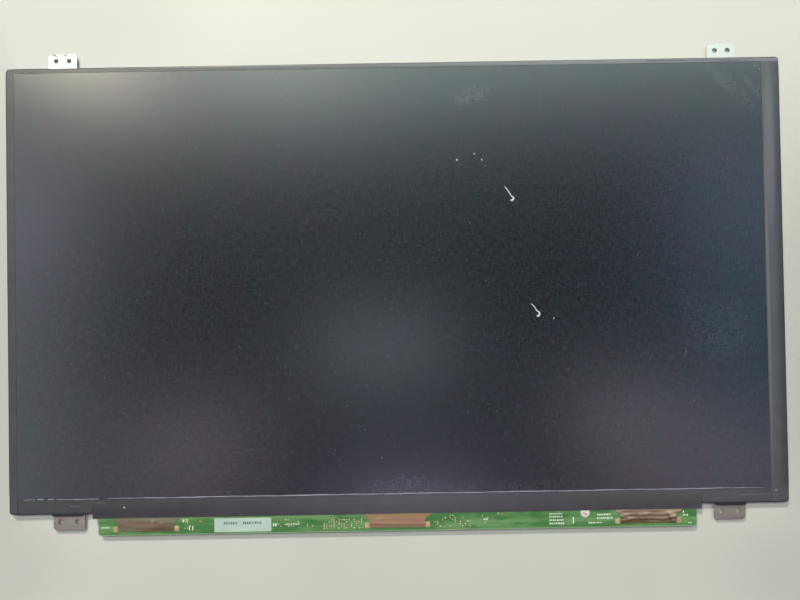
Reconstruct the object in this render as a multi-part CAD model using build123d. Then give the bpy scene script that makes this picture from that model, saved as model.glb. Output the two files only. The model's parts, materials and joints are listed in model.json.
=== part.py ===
from build123d import *

import os
from collections import namedtuple

# A 15.6 inch laptop screen module that lies on its back, in millimetres.
# +X runs to the viewer's right, +Y to the upper edge of the screen, +Z out of the glass.
# The origin is the middle of the body's back face.

# Body outline, without the ears and the board
BODY_WIDTH = 359.5
BODY_HEIGHT = 206.5
CORNER_RADIUS = 1.6
FRONT_EDGE_RADIUS = 0.6

# Thickness of each layer, from the back to the front
PLATE_THICKNESS = 0.3
REFLECTOR_THICKNESS = 0.2
GUIDE_THICKNESS = 0.7
DIFFUSER_THICKNESS = 0.12
PRISM_THICKNESS = 0.14
SHEET_PLAY = 0.05
SHELF_THICKNESS = 0.25
RIM_TAPE_THICKNESS = 0.06
REAR_POLARISER_THICKNESS = 0.13
GLASS_THICKNESS = 0.4
FRONT_POLARISER_THICKNESS = 0.2
TAPE_THICKNESS = 0.1

# Frame walls round the glass, the glass itself and the sheets on it
WALL_LEFT = 2.5
WALL_RIGHT = 2.35
WALL_TOP = 0.9
WALL_BOTTOM = 2.0
CELL_CLEARANCE = 0.25
GATE_LEDGE = 4.6
SOURCE_LEDGE = 3.2
GLASS_MARGIN = 1.3
POLARISER_MARGIN = 1.85
GLASS_CORNER = 0.6
SHEET_CORNER = 0.4
TAPE_GAP = 0.15

# Frame rails round the backlight, and the shelf that carries the glass
RAIL_LEFT = 2.0
RAIL_RIGHT = 6.7
RAIL_TOP = 1.1
RAIL_BOTTOM = 2.15
SHELF_SETBACK = 0.9
RIM_TAPE_SETBACK = 0.2
RIM_TAPE_WIDTH = 1.6
CORE_WALL = 1.2
CORE_DEPTH = 1.2
CORE_COUNT = 6

# Folded rim of the back plate, with its windows and the frame's hooks in them
RIM_CLEARANCE = 0.1
BEND_RADIUS = 0.2
CORNER_RELIEF = 1.4
HOOK_LENGTH = 6.0
HOOK_HEIGHT = 0.5
HOOK_LEVEL = 0.9
HOOK_CLEARANCE = 0.1
TOP_HOOK_COUNT = 5
TOP_HOOK_PITCH = 70.0
SIDE_HOOK_COUNT = 3
SIDE_HOOK_PITCH = 70.0

# Light guide and sheets, with the lugs that locate them
GUIDE_CLEARANCE = 0.2
SHEET_INSET = 0.2
LUG_LENGTH = 6.0
LUG_REACH = 1.0
LUG_CLEARANCE = 0.3
LUG_PITCH = 64.0

# Row of light sources along the lower edge
LED_ZONE = 3.1
LED_GAP = 0.1
LED_LENGTH = 3.8
LED_DEPTH = 1.2
LED_HEIGHT = 0.7
LED_WINDOW = 3.0
LED_WINDOW_DEPTH = 0.2
LED_RIM = 0.12
LED_PITCH = 8.4
STRIP_THICKNESS = 0.12
STRIP_END_MARGIN = 3.0
TAIL_WIDTH = 6.0
TAIL_FROM_BOARD_END = 11.0
TAIL_BEND_RADIUS = 0.8
TAIL_NOTCH_CLEARANCE = 0.4
TAIL_NOTCH_WALL = 1.2

# Stamped mounting brackets
STEEL_THICKNESS = 0.4
EAR_LEVEL = 1.2
EAR_BEND_RADIUS = 0.2
EAR_CHAMFER = 1.1
EAR_HOLE_DIAMETER = 2.3
EAR_RELIEF = 0.4
FLANGE_WING = 6.0
FLANGE_LOW = 0.1
BRACKET_CLEARANCE = 0.1
STAKE_DIAMETER = 0.8
STAKE_CLEARANCE = 0.05
STAKE_FROM_END = 2.5
TOP_EAR_FROM_SIDE = 26.2
TOP_EAR_WIDTH = 13.0
TOP_EAR_REACH = 6.85
TOP_HOLE_SPACING = 6.0
TOP_HOLE_FROM_TIP = 3.1
BOTTOM_EAR_FROM_SIDE = 27.05
BOTTOM_EAR_WIDTH = 14.5
BOTTOM_EAR_REACH = 7.75
BOTTOM_HOLE_SPACING = 7.8
BOTTOM_HOLE_FROM_TIP = 4.0
BOSS_REACH = 1.0
BOSS_CHAMFER = 0.8

# Side flaps of the edge tapes, and their slots for the upper ears
TAPE_FLAP_LOW = 0.4
TAPE_FLAP_FROM_BOTTOM = 9.2
TAPE_FLAP_FROM_TOP = 3.8
TAPE_SLOT_CLEARANCE = 0.3

# Control board below the body
BOARD_LENGTH = 275.6
BOARD_OFFSET = -1.0
BOARD_GAP = 0.75
BOARD_HEIGHT = 9.5
BOARD_THICKNESS = 0.8
BOARD_CORNER = 1.5
BOARD_CLEARANCE = 0.3
REST_COUNT = 4
REST_PITCH = 70.0
REST_WIDTH = 5.0
REST_LAP = 1.4
REST_THICKNESS = 0.4

# Driver films from the glass to the board, with their chips
FILM_THICKNESS = 0.08
FILM_COUNT = 3
FILM_PITCH = 115.75
FILM_WIDTH = 33.0
FILM_FOOT_WIDTH = 25.6
FILM_SETBACK = 0.5
FILM_SHOULDER_DROP = 0.8
FILM_SHOULDER_RUN = 3.6
FILM_END_MARGIN = 1.6
FILM_ROUND = 1.2
DRIVER_LENGTH = 22.0
DRIVER_DEPTH = 1.4
DRIVER_THICKNESS = 0.45
DRIVER_CLEARANCE = 0.5
DRIVER_HEADROOM = 0.1

# Cover tape over the films
COVER_OVERHANG = 2.6
COVER_FOLD_SETBACK = 0.2
COVER_FOLD_RUN = 1.5
COVER_LAP = 1.5
COVER_SIDE_GAP = 0.1
WING_FROM_EDGE = 0.65
FRAME_DROP_CLEARANCE = 0.1

# Labels on the front of the board, placed from its middle
LABEL_THICKNESS = 0.08
LABEL_LENGTH = 26.2
LABEL_WIDTH = 6.3
LABEL_X = -71.3
LABEL_FROM_EDGE = 0.9
STICKER_DIAMETER = 4.2
STICKER_X = 86.5
STICKER_Y = 2.2

# Signal connector on the back of the board
SOCKET_LENGTH = 25.4
SOCKET_DEPTH = 4.3
SOCKET_HEIGHT = 1.15
SOCKET_X = 88.1
SOCKET_FROM_EDGE = 0.3
MOUTH_LENGTH = 21.8
MOUTH_DEPTH = 2.9
MOUTH_HEIGHT = 0.6
MOUTH_FLOOR = 0.25
CONTACT_COUNT = 40
CONTACT_PITCH = 0.5
CONTACT_WIDTH = 0.2
CONTACT_THICKNESS = 0.15
CONTACT_TAIL = 0.8
CONTACT_TIP_SETBACK = 0.8
CONTACT_CLEARANCE = 0.03
SHELL_THICKNESS = 0.15
SHELL_DEPTH = 3.2
SHELL_LEG_DEPTH = 2.0
SHELL_FOOT = 0.9

# Connector for the tail of the light strip
LED_PLUG_LENGTH = 8.4
LED_PLUG_DEPTH = 3.6
LED_PLUG_HEIGHT = 0.9
LED_PLUG_FROM_TOP = 2.6
LED_PLUG_SLOT_DEPTH = 2.4
LED_PLUG_SLOT_CLEARANCE = 0.1

# Components on the back of the board: length, width and height
TIMING_CHIP = (6.0, 6.0, 0.85)
POWER_CHIP = (5.0, 5.0, 0.8)
LED_DRIVER_CHIP = (4.0, 4.0, 0.8)
REFERENCE_CHIP = (4.0, 4.0, 0.8)
MEMORY_CHIP = (3.0, 2.0, 0.6)
FUSE = (1.6, 0.8, 0.5)
INDUCTOR = (4.0, 4.0, 1.0)
DIODE = (2.6, 1.6, 0.9)
CAPACITOR = (1.6, 0.8, 0.8)
CAPACITOR_END = 0.35
CAPACITOR_STEP = 0.04
CAPACITOR_PITCH = 2.4
RESISTOR = (1.0, 0.5, 0.35)
RESISTOR_PITCH = 1.5

# Places on the back: along the board from the light strip's tail, the middle or the socket,
# and up from the board's centre line
TIMING_CHIP_PLACE = ("middle", -34.0, -0.4)
POWER_CHIP_PLACE = ("middle", 24.0, -0.9)
LED_DRIVER_PLACE = ("tail", 31.0, -0.9)
REFERENCE_CHIP_PLACE = ("middle", 8.0, -0.9)
MEMORY_CHIP_PLACE = ("middle", -50.0, -0.9)
FUSE_PLACE = ("socket", -19.0, -0.9)
INDUCTOR_PLACES = (("tail", 23.0, -0.9), ("middle", 33.0, -0.9))
DIODE_PLACES = (("tail", 17.0, -0.9), ("middle", 40.0, -0.9))
CAPACITOR_ROW_PLACES = (
    ("tail", 25.0, -4.2),
    ("middle", -42.0, -4.2),
    ("middle", 18.0, -4.2),
    ("socket", -27.0, -2.6),
)
CAPACITOR_ROW_COUNTS = (4, 7, 6, 3)
RESISTOR_ROW_PLACES = (
    ("tail", 35.0, 0.6),
    ("middle", -28.5, 0.8),
    ("middle", -28.5, -1.0),
    ("middle", 12.0, 1.0),
    ("socket", -27.0, -4.2),
)
RESISTOR_ROW_COUNTS = (4, 5, 5, 4, 6)
CHIP_CORNER = 0.4
INDUCTOR_CORNER = 0.9


class Rect(namedtuple("Rect", "left right bottom top")):
    """A rectangle in plan, given by its four edges."""

    def grow(self, by):
        return Rect(self.left - by, self.right + by, self.bottom - by, self.top + by)


def slab(rect, low, high):
    """A flat block over a rectangle, from one height to another."""
    middle = Pos((rect.left + rect.right) / 2, (rect.bottom + rect.top) / 2, (low + high) / 2)
    return middle * Box(rect.right - rect.left, rect.top - rect.bottom, high - low)


def spread(count, pitch):
    """Places along a line, evenly spaced about zero."""
    return [(index - (count - 1) / 2) * pitch for index in range(count)]


# Heights of the stack, each from the one below it
plate_top = PLATE_THICKNESS
reflector_top = plate_top + REFLECTOR_THICKNESS
guide_top = reflector_top + GUIDE_THICKNESS
diffuser_top = guide_top + DIFFUSER_THICKNESS
lower_prism_top = diffuser_top + PRISM_THICKNESS
upper_prism_top = lower_prism_top + PRISM_THICKNESS
shelf_low = upper_prism_top + SHEET_PLAY
shelf_top = shelf_low + SHELF_THICKNESS
rim_tape_top = shelf_top + RIM_TAPE_THICKNESS
rear_polariser_top = rim_tape_top + REAR_POLARISER_THICKNESS
array_top = rear_polariser_top + GLASS_THICKNESS
filter_top = array_top + GLASS_THICKNESS
front_top = filter_top + FRONT_POLARISER_THICKNESS
frame_top = filter_top
film_top = array_top + FILM_THICKNESS
board_back = array_top - BOARD_THICKNESS
ear_top = EAR_LEVEL + STEEL_THICKNESS

# Outlines in plan, from the outer edges inwards
body = Rect(-BODY_WIDTH / 2, BODY_WIDTH / 2, -BODY_HEIGHT / 2, BODY_HEIGHT / 2)
frame = Rect(
    body.left + TAPE_THICKNESS,
    body.right - TAPE_THICKNESS,
    body.bottom,
    body.top - TAPE_THICKNESS,
)
cell_pocket = Rect(
    frame.left + WALL_LEFT,
    frame.right - WALL_RIGHT,
    frame.bottom + WALL_BOTTOM,
    frame.top - WALL_TOP,
)
array_glass = cell_pocket.grow(-CELL_CLEARANCE)
filter_glass = Rect(
    array_glass.left,
    array_glass.right - GATE_LEDGE,
    array_glass.bottom + SOURCE_LEDGE,
    array_glass.top,
)
polariser = filter_glass.grow(-GLASS_MARGIN)
active_area = polariser.grow(-POLARISER_MARGIN)
shelf_opening = active_area.grow(SHELF_SETBACK)
cavity = Rect(
    frame.left + RAIL_LEFT,
    frame.right - RAIL_RIGHT,
    frame.bottom + RAIL_BOTTOM,
    frame.top - RAIL_TOP,
)
plate = cavity.grow(-RIM_CLEARANCE)
plate_inside = plate.grow(-PLATE_THICKNESS)
guide = Rect(
    plate_inside.left + GUIDE_CLEARANCE,
    plate_inside.right - GUIDE_CLEARANCE,
    plate_inside.bottom + LED_ZONE,
    plate_inside.top - GUIDE_CLEARANCE,
)
top_ear_places = (body.left + TOP_EAR_FROM_SIDE, body.right - TOP_EAR_FROM_SIDE)
bottom_ear_places = (body.left + BOTTOM_EAR_FROM_SIDE, body.right - BOTTOM_EAR_FROM_SIDE)
board = Rect(
    BOARD_OFFSET - BOARD_LENGTH / 2,
    BOARD_OFFSET + BOARD_LENGTH / 2,
    frame.bottom - BOARD_GAP - BOARD_HEIGHT,
    frame.bottom - BOARD_GAP,
)
board_middle = (board.bottom + board.top) / 2
film_places = [BOARD_OFFSET + place for place in spread(FILM_COUNT, FILM_PITCH)]
cover = Rect(
    min(board.left, film_places[0] - FILM_WIDTH / 2) - COVER_OVERHANG,
    max(board.right, film_places[-1] + FILM_WIDTH / 2) + COVER_OVERHANG,
    board.top - COVER_LAP,
    polariser.bottom - TAPE_GAP,
)
tape_inside = polariser.grow(TAPE_GAP)
bracket_end = bottom_ear_places[0] + BOTTOM_EAR_WIDTH / 2 + FLANGE_WING + BRACKET_CLEARANCE
tail_middle = max(
    board.left + TAIL_FROM_BOARD_END,
    bracket_end + TAIL_NOTCH_WALL + TAIL_NOTCH_CLEARANCE + TAIL_WIDTH / 2,
)
socket_x = BOARD_OFFSET + SOCKET_X
anchors = {"tail": tail_middle, "middle": BOARD_OFFSET, "socket": socket_x}
guide_centre_y = (guide.bottom + guide.top) / 2
guide_centre_x = (guide.left + guide.right) / 2
top_hook_places = [guide_centre_x + place for place in spread(TOP_HOOK_COUNT, TOP_HOOK_PITCH)]
side_hook_places = [guide_centre_y + place for place in spread(SIDE_HOOK_COUNT, SIDE_HOOK_PITCH)]
lug_places = [guide_centre_y + place for place in spread(2, LUG_PITCH)]


def sheet(rect, low, high, corner):
    """A thin sheet with small round corners."""
    outline = RectangleRounded(rect.right - rect.left, rect.top - rect.bottom, corner)
    middle = Pos((rect.left + rect.right) / 2, (rect.bottom + rect.top) / 2, low)
    return middle * extrude(outline, high - low)


def glass(rect, low, high):
    """A glass plate with its four corners ground off."""
    return chamfer(slab(rect, low, high).edges().filter_by(Axis.Z), GLASS_CORNER)


def lugged_sheet(rect, low, high):
    """A backlight sheet with cut corners and two locating lugs on each side."""
    result = chamfer(slab(rect, low, high).edges().filter_by(Axis.Z), SHEET_CORNER)
    for place in lug_places:
        lug = Rect(
            guide.left - LUG_REACH,
            guide.right + LUG_REACH,
            place - LUG_LENGTH / 2,
            place + LUG_LENGTH / 2,
        )
        result += slab(lug, low, high)
    return result


def lug_room(low, high):
    """Room for the lugs, across the rims of the plate and into the rails of the frame."""
    rooms = []
    for place in lug_places:
        half = LUG_LENGTH / 2 + LUG_CLEARANCE
        reach = LUG_REACH + LUG_CLEARANCE
        rooms.append(slab(Rect(guide.left - reach, guide.left, place - half, place + half), low, high))
        rooms.append(slab(Rect(guide.right, guide.right + reach, place - half, place + half), low, high))
    return rooms


def hooks(clearance):
    """Small hooks that reach from the frame's rails through the rim of the plate."""
    half = HOOK_LENGTH / 2 + clearance
    low = HOOK_LEVEL - HOOK_HEIGHT / 2 - clearance
    high = HOOK_LEVEL + HOOK_HEIGHT / 2 + clearance
    result = []
    for place in top_hook_places:
        result.append(slab(Rect(place - half, place + half, plate_inside.top, cavity.top), low, high))
    for place in side_hook_places:
        result.append(slab(Rect(cavity.left, plate_inside.left, place - half, place + half), low, high))
        result.append(slab(Rect(plate_inside.right, cavity.right, place - half, place + half), low, high))
    return result


def tail_room(bottom, top, high):
    """Room for the tail of the light strip where it leaves over the lower edge."""
    half = TAIL_WIDTH / 2 + TAIL_NOTCH_CLEARANCE
    return slab(Rect(tail_middle - half, tail_middle + half, bottom, top), PLATE_THICKNESS, high)


def make_back_plate():
    """Aluminium tray: a flat sheet with its four edges folded up behind the rails."""
    rim_top = shelf_low - RIM_CLEARANCE
    tray = slab(plate, 0, rim_top)
    tray = fillet(tray.faces().sort_by(Axis.Z)[0].edges(), BEND_RADIUS + PLATE_THICKNESS)
    hollow = slab(plate_inside, PLATE_THICKNESS, rim_top)
    tray -= fillet(hollow.faces().sort_by(Axis.Z)[0].edges(), BEND_RADIUS)
    for x in (plate.left, plate.right):
        for y in (plate.bottom, plate.top):
            tray -= Pos(x, y, rim_top / 2) * Box(2 * CORNER_RELIEF, 2 * CORNER_RELIEF, rim_top)
    tray -= hooks(HOOK_CLEARANCE)
    tray -= lug_room(PLATE_THICKNESS, rim_top)
    tray -= tail_room(plate.bottom, plate_inside.bottom + BEND_RADIUS, rim_top)
    return tray


def stake_places(middle, ear_width):
    """Where the frame's pins go through the two ends of a bracket's flange."""
    reach = ear_width / 2 + FLANGE_WING - STAKE_FROM_END
    return [middle - reach, middle + reach]


def stakes(middle, ear_width, face, outward, diameter):
    """Two round pins that run out of the frame's wall through a bracket's flange."""
    level = (FLANGE_LOW + ear_top) / 2
    depth = face - outward * STEEL_THICKNESS / 2
    pin = Rotation(90, 0, 0) * Cylinder(diameter / 2, STEEL_THICKNESS)
    return [Pos(x, depth, level) * pin for x in stake_places(middle, ear_width)]


def make_bracket(middle, ear_width, reach, hole_spacing, hole_from_tip, face, outward):
    """Stamped bracket: a flange set in the frame's wall, and an ear folded out of it."""
    bend_level = EAR_LEVEL - EAR_BEND_RADIUS
    outer_radius = EAR_BEND_RADIUS + STEEL_THICKNESS
    section = make_face(
        Line((-STEEL_THICKNESS, FLANGE_LOW), (-STEEL_THICKNESS, bend_level))
        + CenterArc((EAR_BEND_RADIUS, bend_level), outer_radius, 180, -90)
        + Line((EAR_BEND_RADIUS, ear_top), (reach, ear_top))
        + Line((reach, ear_top), (reach, EAR_LEVEL))
        + Line((reach, EAR_LEVEL), (EAR_BEND_RADIUS, EAR_LEVEL))
        + CenterArc((EAR_BEND_RADIUS, bend_level), EAR_BEND_RADIUS, 90, 90)
        + Line((0, bend_level), (0, FLANGE_LOW))
        + Line((0, FLANGE_LOW), (-STEEL_THICKNESS, FLANGE_LOW))
    )
    across = Plane(
        origin=(middle, face, 0),
        x_dir=(0, outward, 0),
        z_dir=(outward, 0, 0),
    )
    ear = extrude(across * section, ear_width / 2, both=True)
    tip_edges = ear.edges().filter_by(Axis.Z).sort_by(Axis.Y)
    ear = chamfer(tip_edges[-2:] if outward > 0 else tip_edges[:2], EAR_CHAMFER)
    inner = face - outward * STEEL_THICKNESS
    for side in (-1, 1):
        near = middle + side * (ear_width / 2 + EAR_RELIEF)
        far = middle + side * (ear_width / 2 + FLANGE_WING)
        root = middle + side * ear_width / 2
        low_y = min(face, inner)
        high_y = max(face, inner)
        ear += slab(Rect(min(near, far), max(near, far), low_y, high_y), FLANGE_LOW, ear_top)
        ear += slab(Rect(min(root, near), max(root, near), low_y, high_y), FLANGE_LOW, bend_level)
    ear -= stakes(middle, ear_width, face, outward, STAKE_DIAMETER + 2 * STAKE_CLEARANCE)
    hole_y = face + outward * (reach - hole_from_tip)
    for place in spread(2, hole_spacing):
        hole = Cylinder(EAR_HOLE_DIAMETER / 2, 3 * STEEL_THICKNESS)
        ear -= Pos(middle + place, hole_y, EAR_LEVEL + STEEL_THICKNESS / 2) * hole
    return ear


def bracket_pocket(middle, ear_width, face, outward):
    """Pocket in the frame's wall that takes a bracket's flange, open to the back."""
    half = ear_width / 2 + FLANGE_WING + BRACKET_CLEARANCE
    floor = face - outward * STEEL_THICKNESS
    rect = Rect(middle - half, middle + half, min(face, floor), max(face, floor))
    return slab(rect, 0, ear_top + BRACKET_CLEARANCE)


def boss(middle):
    """Moulded boss that covers the root of a lower ear from the front."""
    half = BOTTOM_EAR_WIDTH / 2
    rect = Rect(middle - half, middle + half, frame.bottom - BOSS_REACH, frame.bottom + FRONT_EDGE_RADIUS)
    block = slab(rect, ear_top + BRACKET_CLEARANCE, frame_top)
    outer_edges = block.edges().filter_by(Axis.Z).sort_by(Axis.Y)[:2]
    return chamfer(outer_edges, BOSS_CHAMFER)


def core_pockets():
    """Hollows in the back of the wide right rail, with ribs between them."""
    left = cavity.right + CORE_WALL + LUG_REACH
    right = frame.right - CORE_WALL
    low = cavity.bottom + CORE_WALL
    step = (cavity.top - low) / CORE_COUNT
    result = []
    for index in range(CORE_COUNT):
        start = low + index * step
        result.append(slab(Rect(left, right, start, start + step - CORE_WALL), 0, CORE_DEPTH))
    return result


def board_rests():
    """Thin fingers below the frame that carry the upper margin of the board."""
    result = []
    for place in spread(REST_COUNT, REST_PITCH):
        left = BOARD_OFFSET + place - REST_WIDTH / 2
        rect = Rect(left, left + REST_WIDTH, board.top - REST_LAP, frame.bottom + WALL_BOTTOM / 2)
        result.append(slab(rect, board_back - REST_THICKNESS, board_back))
    return result


def driver_room():
    """Pockets in the lower wall for the chips under the driver films."""
    half = DRIVER_LENGTH / 2 + DRIVER_CLEARANCE
    low = array_top - DRIVER_THICKNESS - DRIVER_HEADROOM
    result = []
    for place in film_places:
        rect = Rect(place - half, place + half, frame.bottom, cell_pocket.bottom)
        result.append(slab(rect, low, frame_top))
    return result


def make_mould_frame():
    """Black moulded frame: rails round the backlight, a shelf and walls round the glass."""
    outline = RectangleRounded(frame.right - frame.left, frame.top - frame.bottom, CORNER_RADIUS)
    block = Pos(0, (frame.bottom + frame.top) / 2, 0) * extrude(outline, frame_top)
    block = fillet(block.faces().sort_by(Axis.Z)[-1].edges(), FRONT_EDGE_RADIUS)
    block += [boss(middle) for middle in bottom_ear_places]
    block -= slab(cavity, 0, shelf_low)
    block -= slab(shelf_opening, 0, frame_top)
    block -= slab(cell_pocket, shelf_top, frame_top)
    low_wall = Rect(
        cover.left - COVER_SIDE_GAP,
        cover.right + COVER_SIDE_GAP,
        frame.bottom - BOSS_REACH,
        cell_pocket.bottom,
    )
    block -= slab(low_wall, array_top - FRAME_DROP_CLEARANCE, frame_top)
    block -= slab(board.grow(BOARD_CLEARANCE), board_back, frame_top)
    block -= driver_room()
    block -= core_pockets()
    block -= lug_room(0, shelf_low)
    block -= tail_room(frame.bottom, cavity.bottom, shelf_low - SHELF_THICKNESS)
    block += board_rests()
    block += hooks(0)
    for middle in top_ear_places:
        block -= bracket_pocket(middle, TOP_EAR_WIDTH, frame.top, 1)
        block += stakes(middle, TOP_EAR_WIDTH, frame.top, 1, STAKE_DIAMETER)
    for middle in bottom_ear_places:
        block -= bracket_pocket(middle, BOTTOM_EAR_WIDTH, frame.bottom, -1)
        block += stakes(middle, BOTTOM_EAR_WIDTH, frame.bottom, -1, STAKE_DIAMETER)
    return block


def make_rim_tape():
    """Light-tight adhesive tape between the shelf and the glass."""
    inner = shelf_opening.grow(RIM_TAPE_SETBACK)
    return slab(inner.grow(RIM_TAPE_WIDTH), shelf_top, rim_tape_top) - slab(inner, shelf_top, rim_tape_top)


def strip_outline():
    """The light strip lies between the plate's lower rim and the edge of the guide."""
    return Rect(
        guide.left + STRIP_END_MARGIN,
        guide.right - STRIP_END_MARGIN,
        plate_inside.bottom + BEND_RADIUS,
        guide.bottom - LED_GAP / 2,
    )


def make_led_strip():
    """Flexible circuit below the light sources, with a tail that climbs to the board."""
    strip = strip_outline()
    entry = board.top - LED_PLUG_FROM_TOP
    level = board_back - LED_PLUG_HEIGHT / 2 - STRIP_THICKNESS / 2
    route = [
        (strip.bottom, plate_top),
        (frame.bottom, plate_top),
        (entry + TAIL_BEND_RADIUS, level),
        (entry - LED_PLUG_SLOT_DEPTH + LED_PLUG_SLOT_CLEARANCE, level),
    ]
    raised = [(y, z + STRIP_THICKNESS) for y, z in route]
    ribbon = make_face(
        FilletPolyline(*route, radius=TAIL_BEND_RADIUS)
        + Line(route[-1], raised[-1])
        + FilletPolyline(*raised, radius=TAIL_BEND_RADIUS)
        + Line(raised[0], route[0])
    )
    tail = extrude(Pos(tail_middle, 0, 0) * (Plane.YZ * ribbon), TAIL_WIDTH / 2, both=True)
    return slab(strip, plate_top, plate_top + STRIP_THICKNESS) + tail


def make_leds():
    """Side-view light sources, each with a window that faces the edge of the guide."""
    strip = strip_outline()
    low = plate_top + STRIP_THICKNESS
    front = guide.bottom - LED_GAP
    count = int((strip.right - strip.left) / LED_PITCH)
    middle = (strip.left + strip.right) / 2
    result = []
    for place in spread(count, LED_PITCH):
        left = middle + place - LED_LENGTH / 2
        package = slab(Rect(left, left + LED_LENGTH, front - LED_DEPTH, front), low, low + LED_HEIGHT)
        window = Rect(
            middle + place - LED_WINDOW / 2,
            middle + place + LED_WINDOW / 2,
            front - LED_WINDOW_DEPTH,
            front,
        )
        result.append(package - slab(window, low + LED_RIM, low + LED_HEIGHT - LED_RIM))
    return Compound(result)


def make_driver_film(middle):
    """Driver film: wide at the glass, with shoulders that narrow it to its foot on the board."""
    top = filter_glass.bottom - FILM_SETBACK
    shoulder = board.top - FILM_SHOULDER_DROP
    foot = shoulder - FILM_SHOULDER_RUN
    end = board.bottom + FILM_END_MARGIN
    wide = FILM_WIDTH / 2
    narrow = FILM_FOOT_WIDTH / 2
    outline = FilletPolyline(
        (middle - wide, top),
        (middle - wide, shoulder),
        (middle - narrow, foot),
        (middle - narrow, end),
        (middle + narrow, end),
        (middle + narrow, foot),
        (middle + wide, shoulder),
        (middle + wide, top),
        radius=FILM_ROUND,
        close=True,
    )
    return Pos(0, 0, array_top) * extrude(make_face(outline), FILM_THICKNESS)


def make_driver_chip(middle):
    """Long thin driver chip on the back of a film, in the gap between glass and board."""
    centre = (array_glass.bottom + board.top) / 2
    rect = Rect(
        middle - DRIVER_LENGTH / 2,
        middle + DRIVER_LENGTH / 2,
        centre - DRIVER_DEPTH / 2,
        centre + DRIVER_DEPTH / 2,
    )
    return slab(rect, array_top - DRIVER_THICKNESS, array_top)


def tape_bend():
    """Section of an edge tape where it turns over the frame's front edge and down its side."""
    centre = (TAPE_THICKNESS + FRONT_EDGE_RADIUS, frame_top - FRONT_EDGE_RADIUS)
    outer_radius = FRONT_EDGE_RADIUS + TAPE_THICKNESS
    return make_face(
        Line((centre[0], frame_top), (centre[0], frame_top + TAPE_THICKNESS))
        + CenterArc(centre, outer_radius, 90, 90)
        + Line((0, centre[1]), (0, TAPE_FLAP_LOW))
        + Line((0, TAPE_FLAP_LOW), (TAPE_THICKNESS, TAPE_FLAP_LOW))
        + Line((TAPE_THICKNESS, TAPE_FLAP_LOW), (TAPE_THICKNESS, centre[1]))
        + CenterArc(centre, FRONT_EDGE_RADIUS, 180, -90)
    )


def tape_face(rect):
    """Flat part of an edge tape, inside the rounded front edge of the frame."""
    flat = frame.grow(-FRONT_EDGE_RADIUS)
    corner = CORNER_RADIUS - FRONT_EDGE_RADIUS
    face = sheet(flat, frame_top, frame_top + TAPE_THICKNESS, corner)
    return face & slab(rect, frame_top, frame_top + TAPE_THICKNESS)


def make_side_tape(outward):
    """Left or right edge tape: the whole height in front, folded back along the straight side."""
    edge = body.left if outward < 0 else body.right
    inner = tape_inside.left if outward < 0 else tape_inside.right
    start = body.bottom + TAPE_FLAP_FROM_BOTTOM
    end = body.top - TAPE_FLAP_FROM_TOP
    turn = Plane(
        origin=(edge, start if outward > 0 else end, 0),
        x_dir=(-outward, 0, 0),
        z_dir=(0, outward, 0),
    )
    front = tape_face(Rect(min(edge, inner), max(edge, inner), body.bottom, body.top))
    return front + extrude(turn * tape_bend(), end - start)


def make_top_tape():
    """Upper edge tape, with slots in its folded flap where the upper ears come out."""
    left = tape_inside.left + COVER_SIDE_GAP
    right = tape_inside.right - COVER_SIDE_GAP
    turn = Plane(origin=(right, body.top, 0), x_dir=(0, -1, 0), z_dir=(-1, 0, 0))
    tape = tape_face(Rect(left, right, tape_inside.top, body.top))
    tape += extrude(turn * tape_bend(), right - left)
    for middle in top_ear_places:
        half = TOP_EAR_WIDTH / 2 + TAPE_SLOT_CLEARANCE
        slot = Rect(middle - half, middle + half, frame.top, body.top)
        tape -= slab(slot, 0, ear_top + TAPE_SLOT_CLEARANCE)
    return tape


def make_cover_tape():
    """Cover tape: flat on the glass and the frame's corners, folded down over the films."""
    fold = filter_glass.bottom - COVER_FOLD_SETBACK
    foot = fold - COVER_FOLD_RUN
    step = [
        (cover.top, frame_top),
        (fold, frame_top),
        (foot, film_top),
        (cover.bottom, film_top),
    ]
    raised = [(y, z + TAPE_THICKNESS) for y, z in reversed(step)]
    section = make_face(Polyline(*step, *raised, close=True))
    turn = Pos((cover.left + cover.right) / 2, 0, 0)
    tape = extrude(turn * (Plane.YZ * section), (cover.right - cover.left) / 2, both=True)
    band = Rect(tape_inside.left + COVER_SIDE_GAP, tape_inside.right - COVER_SIDE_GAP, fold, cover.top)
    tape += slab(band, frame_top, frame_top + TAPE_THICKNESS)
    wing_low = frame.bottom + WING_FROM_EDGE
    left_wing = Rect(band.left, cover.left - COVER_SIDE_GAP, wing_low, fold)
    right_wing = Rect(cover.right + COVER_SIDE_GAP, band.right, wing_low, fold)
    for wing in (left_wing, right_wing):
        tape += slab(wing, frame_top, frame_top + TAPE_THICKNESS)
    return tape


def make_control_board():
    """Long narrow circuit board below the frame, with rounded lower corners."""
    plain = slab(board, board_back, array_top)
    lower_edges = plain.edges().filter_by(Axis.Z).sort_by(Axis.Y)[:2]
    return fillet(lower_edges, BOARD_CORNER)


def place_on_board(anchor, along, up):
    """A place on the back of the board, from the tail, the middle or the socket."""
    return anchors[anchor] + along, board_middle + up


def behind_board(length, width, height, x, y):
    """A block on the back of the board, about a place in plan."""
    rect = Rect(x - length / 2, x + length / 2, y - width / 2, y + width / 2)
    return slab(rect, board_back - height, board_back)


def make_chip(size, place):
    """Flat chip package with one corner cut to mark its first pin."""
    block = behind_board(*size, *place_on_board(*place))
    return chamfer(block.edges().filter_by(Axis.Z)[:1], CHIP_CORNER)


def make_inductors():
    """Moulded power inductors with their four corners cut."""
    result = []
    for place in INDUCTOR_PLACES:
        block = behind_board(*INDUCTOR, *place_on_board(*place))
        result.append(chamfer(block.edges().filter_by(Axis.Z), INDUCTOR_CORNER))
    return Compound(result)


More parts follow.
